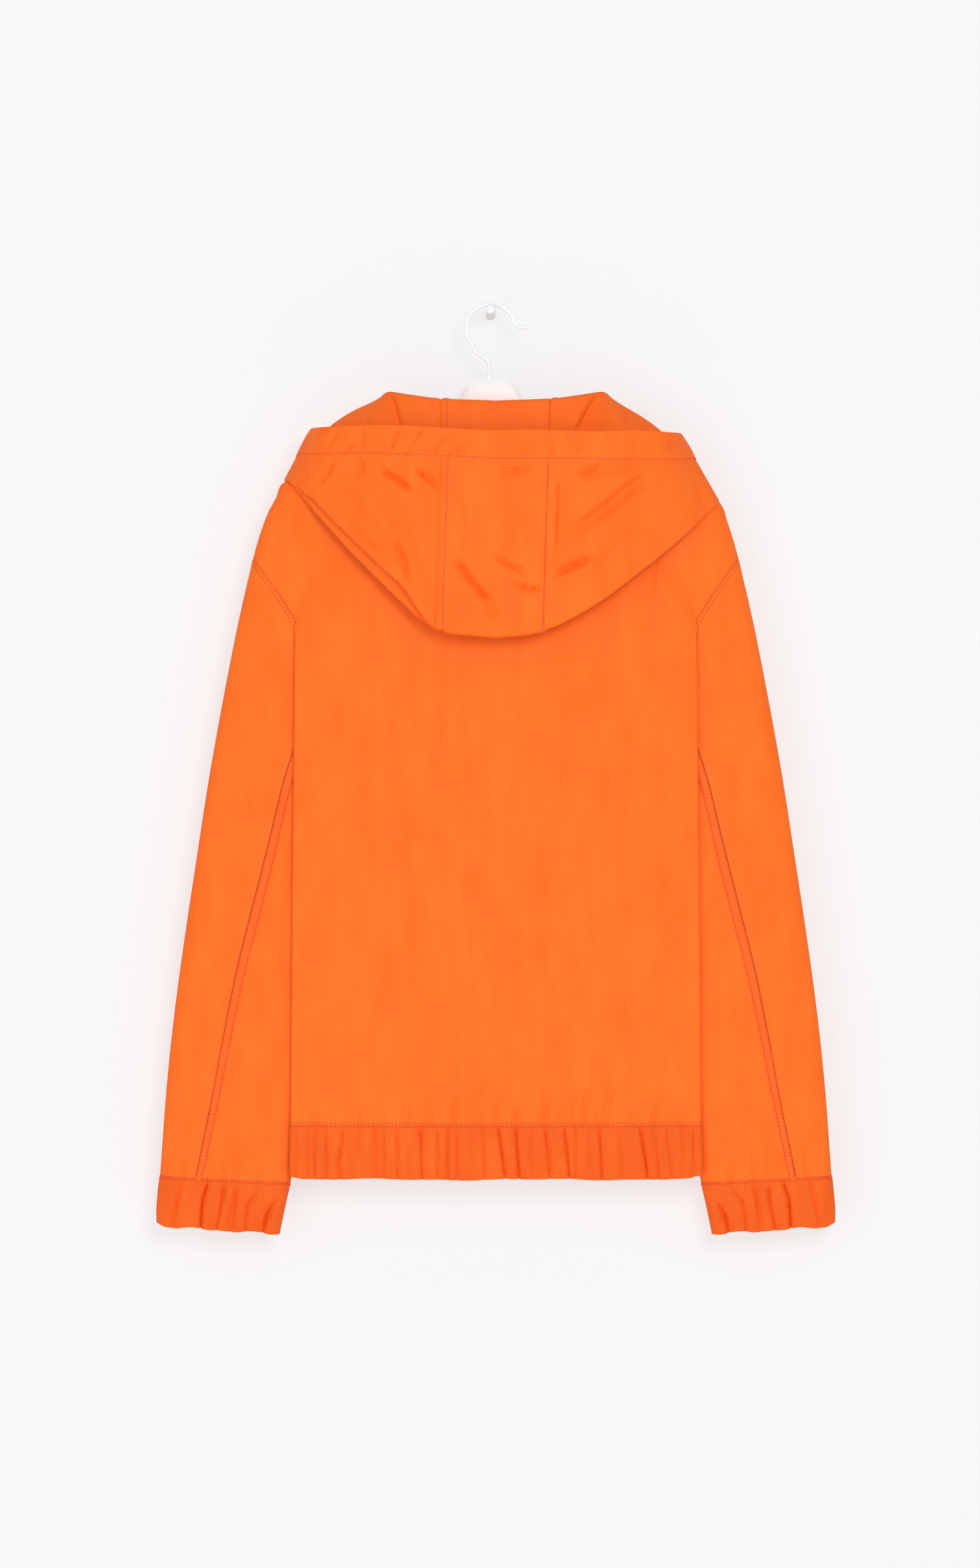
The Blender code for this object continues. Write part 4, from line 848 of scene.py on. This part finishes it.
HEM_FRONT_FOLDS = gathers(
    -702, -784,
    (1.3, 2.0, 0.5, 20, 22), (1.6, 2.2, -0.6, 34, 39), (1.1, 2.0, 0.4, 47, 48), (1.5, 2.1, 0.5, 62, 66),
    (1.4, 2.1, 0.5, 87, 86), (1.9, 2.2, -0.6, 103, 109), (1.2, 2.0, 0.4, 118, 119),
    (1.4, 2.0, -0.5, 132, 137), (1.0, 1.9, 0.4, 146, 146), (1.3, 2.0, 0.5, 158, 161),
    (1.0, 1.9, -0.4, 171, 170),
) + [
    (0.9, 2.0, -0.4, (74, -706), (75, -784)),
]


def swell(share, high, power=0.6):
    """How far doubled cloth stands out at shares of the way from one of its edges to the other."""
    return high * np.sin(pi * np.clip(share, 0, 1)) ** power


def band_grid():
    """The hem band as rows from its seam to its lower edge, from the zip round the right side to the zip."""
    rows = []
    for z in np.linspace(HEM_SEAM - SEAM_LINE, HEM, 25):
        front = body_cells(z, "front", np.linspace(ZIP_HALF / HEM_HALF, 1, 190))[1]
        rear = body_cells(z, "back", np.linspace(0, 1, 200))[1]
        front = np.insert(front, 2, z, axis=1)
        rear = np.insert(rear * (1, -1), 2, z, axis=1)
        mirror = np.array((-1, 1, 1))
        rows.append(np.concatenate((front, rear[::-1][1:], (rear * mirror)[1:], (front * mirror)[::-1][1:])))
    return np.array(rows)


grid = band_grid()
x, y, z = grid.transpose(2, 0, 1)
down = (HEM_SEAM - z) / (HEM_SEAM - HEM)
lifted = np.where(y < 0, folds(x, z, HEM_FOLDS), folds(np.abs(x), z, HEM_FRONT_FOLDS))
lifted *= ease((HEM_SEAM - z) / FLAT_BY_SEAM)
lifted += swell(down, 0.9) + 0.28 * ripple(x * 1.3 + z * 0.08, 2.6)
# The turned-in ends and the part by the zip stay plain. The lower edge waves a little and rises at the
# sides.
on_face = ease((HEM_HALF - np.abs(x)) / 5) * np.where(y > 0, ease((np.abs(x) - 5) / 9), 1) * (np.abs(y) > 14)
hem_grid = grid + facing(grid, 1) * (lifted * on_face)[:, :, None]
hem_grid[:, :, 2] += down ** 3 * (0.5 * np.sin(x / 23) + 0.35 * np.sin(x / 9.1 + 1)) + down ** 4 * (
    2.0 * ease((np.abs(x) - 168) / 12))
hem_nylon = nylon("orange nylon of the bands", "f5681f", "ee5b19")
hem = cloth("hem_band_cloth", hem_grid, hem_nylon, "hem_band", thickness=BAND_CLOTH)
sewn = [beside_edge(hem_grid, "first row", 1.4, 1, BAND_CLOTH), beside_edge(back_grid, "last row", 1.9, 1)]
for side in (-1, 1):
    sewn.append(beside_edge(front_grids[side], "last row", 1.9, side))
hem_sewing = stitches("hem_stitches", sewn, thread)


# The cuffs: tubes of doubled nylon over elastic, gathered like the hem band, joined to the sleeves by two
# rows of stitches close together.
CUFF_LONG = 43.0
CUFF_ROUND = 0.12             # each round edge's share of the cuff's width
CUFF = table(
    "outer_x outer_z inner_x inner_z depth",
    (295.9, -764.58, 181.9, -770.08, 9.8), (297.6, -780.0, 185.5, -786.0, 9.9),
    (298.6, -794.0, 188.5, -800.0, 9.4), (298.4, -807.0, 191.5, -814.5, 8.4),
)
CUFF_FOLDS = (
    (2.18, 2.4, -0.5, (273, -755), (280, -786), (288, -820)),
    (3.59, 2.2, 0.8, (253, -752), (254, -767), (259, -785), (262, -825)),
    (2.65, 2.2, 0.5, (240, -752), (241, -777), (247, -812), (250, -828)),
    (-1.87, 3.4, 0.0, (229, -762), (238, -790), (246, -820)),
    (2.34, 2.6, -0.6, (223, -760), (229, -786), (234, -820)),
    (2.18, 1.9, 0.4, (207, -762), (212, -778), (219, -790), (222, -828)),
    (1.56, 1.8, 0.4, (208, -802), (210, -826)),
    (4.68, 2.6, -0.9, (184, -776), (192, -787), (200, -799), (206, -828)),
    (1.25, 1.8, 0.4, (266, -758), (268, -790)),
    (1.4, 2, -0.4, (291, -764), (294, -820)),
)
CUFF_FRONT_FOLDS = (
    (1.5, 2.2, 0.5, (282, -754), (286, -824)), (1.8, 2.3, -0.6, (266, -754), (270, -826)),
    (1.3, 2.0, 0.4, (252, -754), (252, -826)), (1.9, 2.3, 0.6, (234, -754), (241, -826)),
    (1.4, 2.2, -0.5, (218, -756), (224, -828)), (1.6, 2.2, 0.5, (200, -760), (208, -828)),
)


def cuff_row(t):
    """The right cuff as one ring, and how far in from its round edges each point is."""
    at = row_at(CUFF, t)
    outer, inner = edge_points(at)
    edge = CUFF_ROUND * (1 - np.cos(pi / 2 * np.linspace(0, 1, 10)))
    shares = np.concatenate((edge, np.linspace(CUFF_ROUND, 1 - CUFF_ROUND, 84)[1:-1], 1 - edge[::-1]))
    inside = np.clip(np.minimum(shares, 1 - shares) / CUFF_ROUND, 0, 1)
    deep = at["depth"] * np.sqrt(1 - (1 - inside) ** 2)
    side = outer + (inner - outer) * shares[:, None]
    rear, front = side - deep[:, None] * (0, 1, 0), side + deep[:, None] * (0, 1, 0)
    return np.concatenate((rear, front[::-1][1:-1])), np.concatenate((inside, inside[::-1][1:-1]))


rings = [cuff_row(t) for t in np.linspace(0, 3, 26)]
grid = np.array([ring for ring, inside in rings])
inside = np.array([inside for ring, inside in rings])
x, y, z = grid.transpose(2, 0, 1)
down = np.linspace(0, 1, len(rings))[:, None]
lifted = np.where(y < 0, folds(x, z, CUFF_FOLDS), folds(x, z, CUFF_FRONT_FOLDS))
lifted *= ease(down * CUFF_LONG / FLAT_BY_SEAM)
lifted += swell(down, 0.8) + 0.25 * ripple(x * 1.2, 0.9)
cuff_grid = grid + facing(grid, 1, closed=True) * (lifted * inside)[:, :, None]
# The lower edge waves, and rises at its outer corner.
cuff_grid[:, :, 2] += down ** 3 * (0.7 * np.sin(x / 8.0) + 0.5 * np.sin(x / 4.3 + 2)) + down ** 6 * (
    2.2 * ease((x - 291) / 8))
for name, side in SIDES:
    mirror = np.array((side, 1, 1))
    made = cloth(f"cuff_{name}_cloth", cuff_grid * mirror, hem_nylon, "cuff_" + name, closed=True,
                 thickness=BAND_CLOTH)
    sewn = [beside_edge(cuff_grid * mirror, "first row", 1.1, side, BAND_CLOTH)]
    for part in ("top", "under"):
        sewn.append(beside_edge(sleeve_grids[part] * mirror, "last row", 1.1, -side))
    cuff_sewing = stitches("cuff_stitches_" + name, sewn, thread)


# The hood: three panels, the middle one from the neck to the rim and one each side, hanging down the back
# as an empty bag. Its cloth rises from the neck, folds over, falls inside the bag and comes up to the rim.
# On the left the bag's bottom edge is folded double.
# By degrees round the neck from the middle of the back: the upper fold, the bag's bottom edge (with its own
# sizes on the left), the rim, the way that the hood hangs, the width of its two folds, and its swell.
HOOD = table(
    "neck top_x top_y top_z low_x left_x low_y low_z left_z rim_x rim_y rim_z left_rise way "
    "top_gap low_gap swell",
    (0, 0, -28, -83, 0, 0, -50, -291, -291, 0, -62, -111, 0, 0, 11, 15, 0),
    (32.3, 47, -27, -81, 40, 51, -49, -285, -283, 46.7, -61, -111, 2.5, 6, 11, 14, 0),
    (50, 69, -24, -78, 84, 86, -45, -262, -251, 82, -59, -111, 4, 14, 10, 12, 0),
    (65, 84, -18, -75, 126, 123, -38, -230, -214, 114, -54, -111, 5, 28, 9, 9, 3),
    (78, 90, -10, -73.5, 164, 156, -28, -198, -178, 149, -39, -111, 5, 50, 8, 6, 9),
    (91, 90, 1, -75, 194, 183.5, 0, -168.5, -150, 163.5, -2, -111, 3, 90, 7, 3, 11),
    (108, 88, 11, -86, 164, 158, 27, -188, -180, 146, 33, -124, 0, 140, 7, 6, 5),
    (130, 74, 19, -114, 112, 112, 29, -186, -186, 106, 35, -126, 0, 165, 6, 6, 3),
    (153, 42, 20, -142, 54, 54, 27, -171, -171, 54, 33, -119, 0, 175, 6, 6, 1),
    (176.6, 6, 18.5, -153, 6, 6, 26, -160, -160, 6, 32, -106, 0, 180, 7, 6, 0),
)
CASING = 25.5
CASING_CLOTH = 1.4
HOOD_CLEAR = 4.0              # between the hood and the body under it
PANEL_SEAM = 1                # rows round the neck: at 1 the panels meet, at 5 the bag turns to the front
BAG_SIDE = 5
ROW_WIDE = (50, 36)           # millimetres of one row, on the middle panel and on a side panel
# The double edge hangs lower, and its outer layer stands out and is folded up, with a groove over it.
DOUBLE = dict(sag=4, out=2.5, up=13, groove=31)
NECK_GAP = 0.55               # over the edge of the back, and more at the sides
SEAM_DIP = 1.3                # how far a seam presses the hood's cloth in
FELL_WIDE = 7.4               # the seam allowance, felled to the right and stitched down
FELL_HIGH = 0.5
CURVE_STEPS = 16              # points of a hood line from one corner to the next
TOP_FOLD_AT = 3 * CURVE_STEPS
LOW_FOLD_AT = 10 * CURVE_STEPS
OUTER_FROM = 12 * CURVE_STEPS
# Creases on the outer layer, on the layer that falls inside the bag, on the hood's front and on the casing.
OUTER_FOLDS = (
    (5.4, 3.0, 0.6, (-104, -140), (-88, -150), (-68, -164)),
    (4.3, 2.9, -0.5, (-72, -143), (-60, -153), (-47, -163)),
    (3.2, 2.5, 0.4, (-117, -133), (-116, -152)),
    (5.0, 3.2, 0.6, (-40, -214), (-30, -226), (-18.5, -242), (4, -267)),
    (4.3, 3.0, -0.5, (-6, -218), (10, -227), (28, -236)),
    (4.6, 3.0, 0.5, (13, -241), (28, -246), (43, -249)),
    (5.7, 4.0, -0.6, (50, -238), (70, -229), (90, -219)),
    (5.7, 7.1, 0.7, (58, -202), (86, -182), (116, -158), (142, -139)),
    (3.2, 2.9, 0.4, (4, -146), (18, -143), (33, -138)),
    (2.1, 1.7, 0.3, (54.5, -139), (54, -180), (52.5, -230)),
    (3.2, 1.7, 0.4, (58, -133), (54, -140)),
    (4.4, 12.3, 0.5, (-154, -138), (-120, -176), (-84, -232)),
    (3.7, 10.4, -0.5, (-132, -134), (-100, -172), (-62, -212)),
    (3.0, 8.6, 0.5, (-98, -168), (-72, -216), (-58, -262)),
    (2.8, 7.6, -0.5, (-34, -148), (-24, -188), (-30, -236)),
    (2.6, 6.7, 0.5, (20, -160), (14, -204), (20, -230)),
    (3.2, 8.6, 0.5, (74, -244), (104, -212), (140, -174)),
    (3.1, 7.6, -0.5, (66, -156), (104, -144), (150, -134)),
    (3.2, 2.5, 0.4, (-140, -134), (-146, -146), (-158, -158)),
    (2.9, 2.7, -0.4, (-10, -262), (2, -276)),
    (3.6, 2.9, 0.4, (96, -136), (84, -146), (70, -150)),
    (4.3, 3.2, 0.5, (-92, -196), (-80, -222), (-74, -246)),
)
INNER_FOLDS = (
    (2.86, 3.6, 0.6, (-93, -68), (-89, -84), (-82, -112)),
    (3.64, 4.2, -0.7, (92, -68), (84, -84), (68, -114)),
    (1.17, 3.4, 0.4, (-64, -78), (-54, -92), (-50, -110)),
    (1.04, 3.6, -0.4, (-14, -82), (-8, -96), (-10, -112)),
    (1.17, 3.6, 0.4, (30, -80), (25, -94), (27, -112)),
    (1.3, 4.2, 0.5, (-120, -82), (-112, -100), (-116, -118)),
    (1.3, 4.2, -0.5, (122, -82), (114, -98), (118, -118)),
)
HOOD_FRONT_FOLDS = (
    (1.95, 8, 0.5, (158, -136), (118, -158), (62, -164)), (1.5, 6, -0.5, (140, -128), (96, -142), (48, -140)),
    (1.65, 5, 0.5, (84, -126), (78, -150), (82, -178)), (1.35, 5, -0.4, (34, -124), (30, -146), (33, -164)),
)
CASING_FOLDS = (
    (2.39, 2.2, 0.5, (-98, -134), (-90, -122), (-84, -104)),
    (2.13, 2, -0.4, (-78, -134), (-70, -120), (-60, -104)),
    (1.86, 2.2, 0.4, (-120, -132), (-116, -118), (-118, -102)),
    (1.86, 2, 0.4, (-58, -134), (-50, -122), (-44, -110)),
    (1.6, 2, -0.4, (-36, -133), (-26, -122), (-20, -112)),
    (1.6, 2.4, 0.4, (-150, -130), (-142, -116), (-138, -102)),
    (1.33, 2.4, 0.4, (8, -132), (14, -112)),
    (1.6, 2.4, -0.4, (70, -132), (78, -112)),
    (1.6, 2.6, 0.4, (118, -132), (124, -112)),
    (2.13, 3, 0.5, (148, -128), (156, -112)),
    (2.38, 2, 0.6, (-142, -134), (-130, -126), (-120, -118)),
    (2.1, 1.8, -0.5, (-106, -136), (-97, -128), (-92, -120)),
    (2.24, 1.9, 0.5, (-90, -137), (-80, -131), (-70, -128)),
    (2.1, 1.8, -0.5, (-68, -136), (-58, -129), (-52, -120)),
    (2.38, 2, 0.5, (-46, -136), (-38, -128), (-28, -123)),
    (1.82, 1.8, 0.4, (-22, -135), (-12, -130), (-6, -122)),
    (1.68, 1.8, -0.4, (22, -134), (30, -126)),
    (1.82, 2, 0.4, (44, -135), (50, -124)),
)


def clear_of_body(point, way):
    """The point, moved out of the body's shoulders where it would lie inside them."""
    x, face = abs(point[0]), "back" if np.cos(way) > 0 else "front"
    below = min(1.0, max(0.0, float(top_height(x, face)) - point[2]) / ROOF)
    wide, deep, edge = (np.interp(point[2], BODY["z"], BODY[name]) for name in ("fold", face, "edge"))
    if x > wide or below == 0:
        return point
    body = (deep + (edge - deep) * min(1.0, x / wide) ** 2) * sqrt(1 - (1 - below) ** 2)
    return np.array((point[0], FACES[face] * max(FACES[face] * point[1], body + HOOD_CLEAR), point[2]))


def step_to(start, end, far):
    """The point that lies that far from start towards end."""
    return start + (end - start) / np.linalg.norm(end - start) * far


def rounded(corners):
    """A smooth line from the first corner to the last that rounds off the others."""
    middles = (corners[:-1] + corners[1:]) / 2
    middles[0], middles[-1] = corners[0], corners[-1]
    f = np.linspace(0, 1, CURVE_STEPS + 1)[1:, None]
    line = [middles[:1]]
    for start, corner, end in zip(middles, corners[1:-1], middles[1:]):
        line.append((start + (corner - start) * f) * (1 - f) + (corner + (end - corner) * f) * f)
    return np.concatenate(line)


def hood_line(t, side):
    """The hood's cloth from the neck, over its upper fold, down, round the bag and up to the rim."""
    at = row_at(HOOD, t)
    left = side < 0
    turned, way = radians(at["neck"]), radians(at["way"])
    face, rise = ("back" if np.cos(turned) > 0 else "front"), abs(np.cos(turned))
    neck_z = NECK_POINT + (NECK_Z[face] - NECK_POINT) * rise ** 1.5
    neck_z += NECK_GAP + 1.2 * np.sin(turned) ** 2
    neck = np.array((side * NECK_HALF * np.sin(turned), FACES[face] * NECK_DEEP[face] * rise ** 0.6, neck_z))
    top = np.array((side * at["top_x"], at["top_y"], at["top_z"]))
    low = np.array((side * at["left_x" if left else "low_x"], at["low_y"], at["left_z" if left else "low_z"]))
    rim = np.array((side * at["rim_x"], at["rim_y"], at["rim_z"] + left * at["left_rise"]))
    out, up = np.array((side * np.sin(way), -np.cos(way), 0)), np.array((0, 0, 1.0))
    double = left * float(ease((t - PANEL_SEAM) / 0.9) * ease((BAG_SIDE - t) / 1.2))
    top_out, low_in = top + out * at["top_gap"], clear_of_body(low, way) - up * DOUBLE["sag"] * double
    low_out = low_in + out * (at["low_gap"] + DOUBLE["out"] * double) + up * DOUBLE["up"] * double
    fall = low_in - top_out
    drop = np.linalg.norm(fall)
    beside = np.array((out[0] * -fall[2], out[1] * -fall[2], out @ fall))
    beside /= np.linalg.norm(beside)
    # From the neck up to the upper fold, then down inside the bag.
    reach = min(at["top_gap"], np.linalg.norm(top - neck) * 0.4)
    corners = [neck, neck + (top - neck) * 0.6, step_to(top, neck, reach), top, top_out,
               step_to(top_out, low_in, min(reach, drop * 0.2))]
    corners += [clear_of_body(top_out + fall * share + beside * at["swell"], way) for share in (0.35, 0.7)]
    # Round the bag's bottom edge, and up its outer side to the rim.
    reach = min(at["low_gap"], drop * 0.2)
    corners += [step_to(low_in, top_out, reach), low_in, low_in + out * at["low_gap"] * 0.3,
                low_in + out * at["low_gap"] * 0.5 + up * DOUBLE["groove"] * double, low_out,
                step_to(low_out, rim, reach), (low_out + rim) / 2, rim]
    return rounded(np.array(corners))


def hood_grid(places, count):
    """A hood panel from neck to casing, given each column's place as rows round the neck and side, with the
    share of the outer layer and of the layer inside the bag at each point."""
    columns, outer, inner = [], [], []
    for t, side in places:
        line = hood_line(t, side)
        far = lengths_along(line)
        wanted = np.linspace(0, far[-1] - CASING - SEAM_LINE, count)
        columns.append(along(line, wanted))
        outer.append(ease((wanted - far[OUTER_FROM] - 2) / 12))
        inner.append(ease((wanted - far[TOP_FOLD_AT] - 3) / 8) * ease((far[LOW_FOLD_AT] - 30 - wanted) / 30))
    return np.array(columns).transpose(1, 0, 2), np.array(outer).T, np.array(inner).T


def creased_hood(places, count, outward):
    """A hood panel with its creases, pressed in along its seams to the next panel."""
    grid, outer, inner = hood_grid(places, count)
    round_neck = np.array([t for t, side in places])
    x, y, z = grid.transpose(2, 0, 1)
    rear = ease((4 - y) / 8) * ease((BAG_SIDE - 0.1 - round_neck) / 0.5)
    lifted = folds(x, z, OUTER_FOLDS) * outer * rear - folds(x, z, INNER_FOLDS) * inner * rear
    lifted += folds(np.abs(x), z, HOOD_FRONT_FOLDS) * outer * ease((round_neck - BAG_SIDE - 0.1) / 0.5)
    from_seam = np.abs(round_neck - PANEL_SEAM) * np.where(round_neck < PANEL_SEAM, *ROW_WIDE)
    facing_room = np.where(outer > inner, 1, -1)
    lifted -= SEAM_DIP * np.exp(-(from_seam / 1.8) ** 2) * facing_room
    felled = np.where(x < 0, round_neck < PANEL_SEAM, round_neck > PANEL_SEAM)
    lifted += FELL_HIGH * ease(FELL_WIDE - from_seam) * felled * facing_room
    lifted += 0.25 * ripple(z, 0.3) * np.exp(-(from_seam / 7) ** 2)
    lifted *= ease(np.arange(count - 1, -1, -1)[:, None] / 3)
    return grid + facing(grid, outward) * lifted[:, :, None]


def over_middle(reach, count):
    """Places of the middle panel's columns, out to reach on both sides."""
    return [(abs(t), -1 if t < 0 else 1) for t in np.linspace(-reach, reach, count)]


hood_nylon = nylon("orange nylon of the hood", "fd7424", "fa691d")
trim = 0.0015
centre_grid = creased_hood(over_middle(PANEL_SEAM - trim, 47), 170, 1)
centre = cloth("hood_centre_cloth", centre_grid, hood_nylon, "hood_centre")
last_row = len(HOOD["neck"]) - 1
round_neck = np.concatenate((np.linspace(PANEL_SEAM + 2 * trim, BAG_SIDE, 108),
                             np.linspace(BAG_SIDE, last_row, 46)[1:]))
for name, side in SIDES:
    panel_grid = creased_hood([(t, side) for t in round_neck], 190, side)
    made = cloth(f"hood_{name}_cloth", panel_grid, hood_nylon, "hood_" + name)

# The casing: a strip of the same nylon, turned over and stitched round the rim. The panel seams stop at it.
up = np.linspace(0, 1, 13)
columns = []
left_side, right_side = [(t, -1) for t in round_neck[::-1]], [(t, 1) for t in round_neck]
for t, side in left_side + over_middle(PANEL_SEAM, 41) + right_side:
    line = hood_line(t, side)
    total = lengths_along(line)[-1]
    columns.append(along(line, total - CASING * (1 - up)))
grid = np.array(columns).transpose(1, 0, 2)
x, y, z = grid.transpose(2, 0, 1)
up = up[:, None]
lifted = folds(x, z, CASING_FOLDS) * (y < 0) * ease(up * CASING / FLAT_BY_SEAM)
lifted += swell(up, 0.9, power=0.7) + 0.18 * ripple(x * 0.8, 3.3) * np.sin(pi * up)
casing_grid = grid + facing(grid, 1) * lifted[:, :, None]
casing_grid[:, :, 2] += up ** 3 * 0.5 * np.sin(x / 17.0)
casing = cloth("hood_casing_cloth", casing_grid, hood_nylon, "hood_casing", thickness=CASING_CLOTH)

sewn = [beside_edge(casing_grid, "first row", 1.5, 1, CASING_CLOTH)]
# Each panel seam's row of stitches shows on the bag's outer layer, and from the upper fold down inside it.
for edge, inset in (("first column", FELL_WIDE - 1), ("last column", 1.1)):
    line, out = beside_edge(centre_grid, edge, inset, 1)
    sewn.append((line[75:], out[75:]))
    line, out = beside_edge(centre_grid, edge, inset, -1)
    sewn.append((line[12:60], out[12:60]))
hood_sewing = stitches("hood_stitches", sewn, thread)


# The zip: a nylon coil zip with orange tapes, sewn behind the two front edges from the hem to the neck. Its
# slider and pull tab are die-cast zinc, lacquered orange, and stay as the frame has them.
ZIP_TOP = -166.0
ZIP_TAPE = 12.0
COIL_PITCH = 1.5
TOOTH = ((-1.3, -0.3), (1.3, -0.3), (1.3, 0.35), (0.9, 0.6), (-0.9, 0.6), (-1.3, 0.35))   # seen from its end
# Herringbone ribs 0.6 mm apart, drawn 1.2 mm apart so that they show.
tape_weave = speckled("orange woven polyester tape", "e0561c", "f0682a",
                      {"Scale": pi / 10 / (1.2 * MM), "Distortion": 0.6, "Detail": 1.0},
                      {"Roughness": 0.75, "IOR": 1.55, "Specular IOR Level": 0.2}, relief=(0.4, 0.2),
                      kind="TexWave", bands_direction="DIAGONAL")
coil_nylon = speckled("orange nylon monofilament", "e65a1e", "f57034", {"Scale": 700.0},
                      {"Roughness": 0.35, "IOR": 1.53})
lacquer = speckled("orange lacquer on die-cast zinc", "e8581c", "f06624", {"Scale": 600.0, "Detail": 2.0},
                   {"Roughness": 0.28, "IOR": 1.5, "Coat Weight": 0.4}, relief=(0.15, 0.1))
for name in ("zip_slider", "zip_pull"):
    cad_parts[name].material_slots[0].material = lacquer


def tape_y(z):
    """Depth of the zip tape's middle, just behind the front's edge."""
    roof = np.sqrt(1 - (1 - np.clip((NECK_Z["front"] - z) / ROOF, 0, 1)) ** 2)
    return NECK_DEEP["front"] + (np.interp(z, BODY["z"], BODY["front"]) - NECK_DEEP["front"]) * roof - 2.1


# The tapes' rows lie closer together at the top, where the fronts bend back to the neck.
heights = np.concatenate((np.linspace(ZIP_TOP, ZIP_TOP - 20, 22), np.linspace(ZIP_TOP - 24, HEM, 150)))
tooth = np.array([(x, y, z) for z in (-0.36, 0.36) for x, y in TOOTH])
tooth[:, 2] *= np.where(np.abs(tooth[:, 0]) > 1, 0.7, 1.0)
for name, side in SIDES:
    widths = np.array((0.3, 2, ZIP_HALF, 8, ZIP_TAPE)) * side
    grid = np.array([[(x, tape_y(z), z) for x in widths] for z in heights])
    tape = cloth(f"zip_tape_{name}_cloth", grid, tape_weave, "zip_tape_" + name, thickness=0.7)
    points, faces = [], []
    for z in np.arange(ZIP_TOP - 4 - (side > 0) * COIL_PITCH / 2, HEM + 1, -COIL_PITCH):
        start = len(points) * len(tooth)
        points.append(tooth + (side * 0.75, tape_y(z) + 0.65, z))
        faces += [tuple(np.array(face) + start) for face in loft_faces(2, 6)]
    coil = mesh_object("zip_coil_" + name, (np.concatenate(points) + JACKET_PLACE) * MM, faces, coil_nylon)
    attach(coil, "jacket")
    sewn = [beside_edge(front_grids[side], "first column", 3.0, side)]
    sewing = stitches("zip_stitches_" + name, sewn, thread)
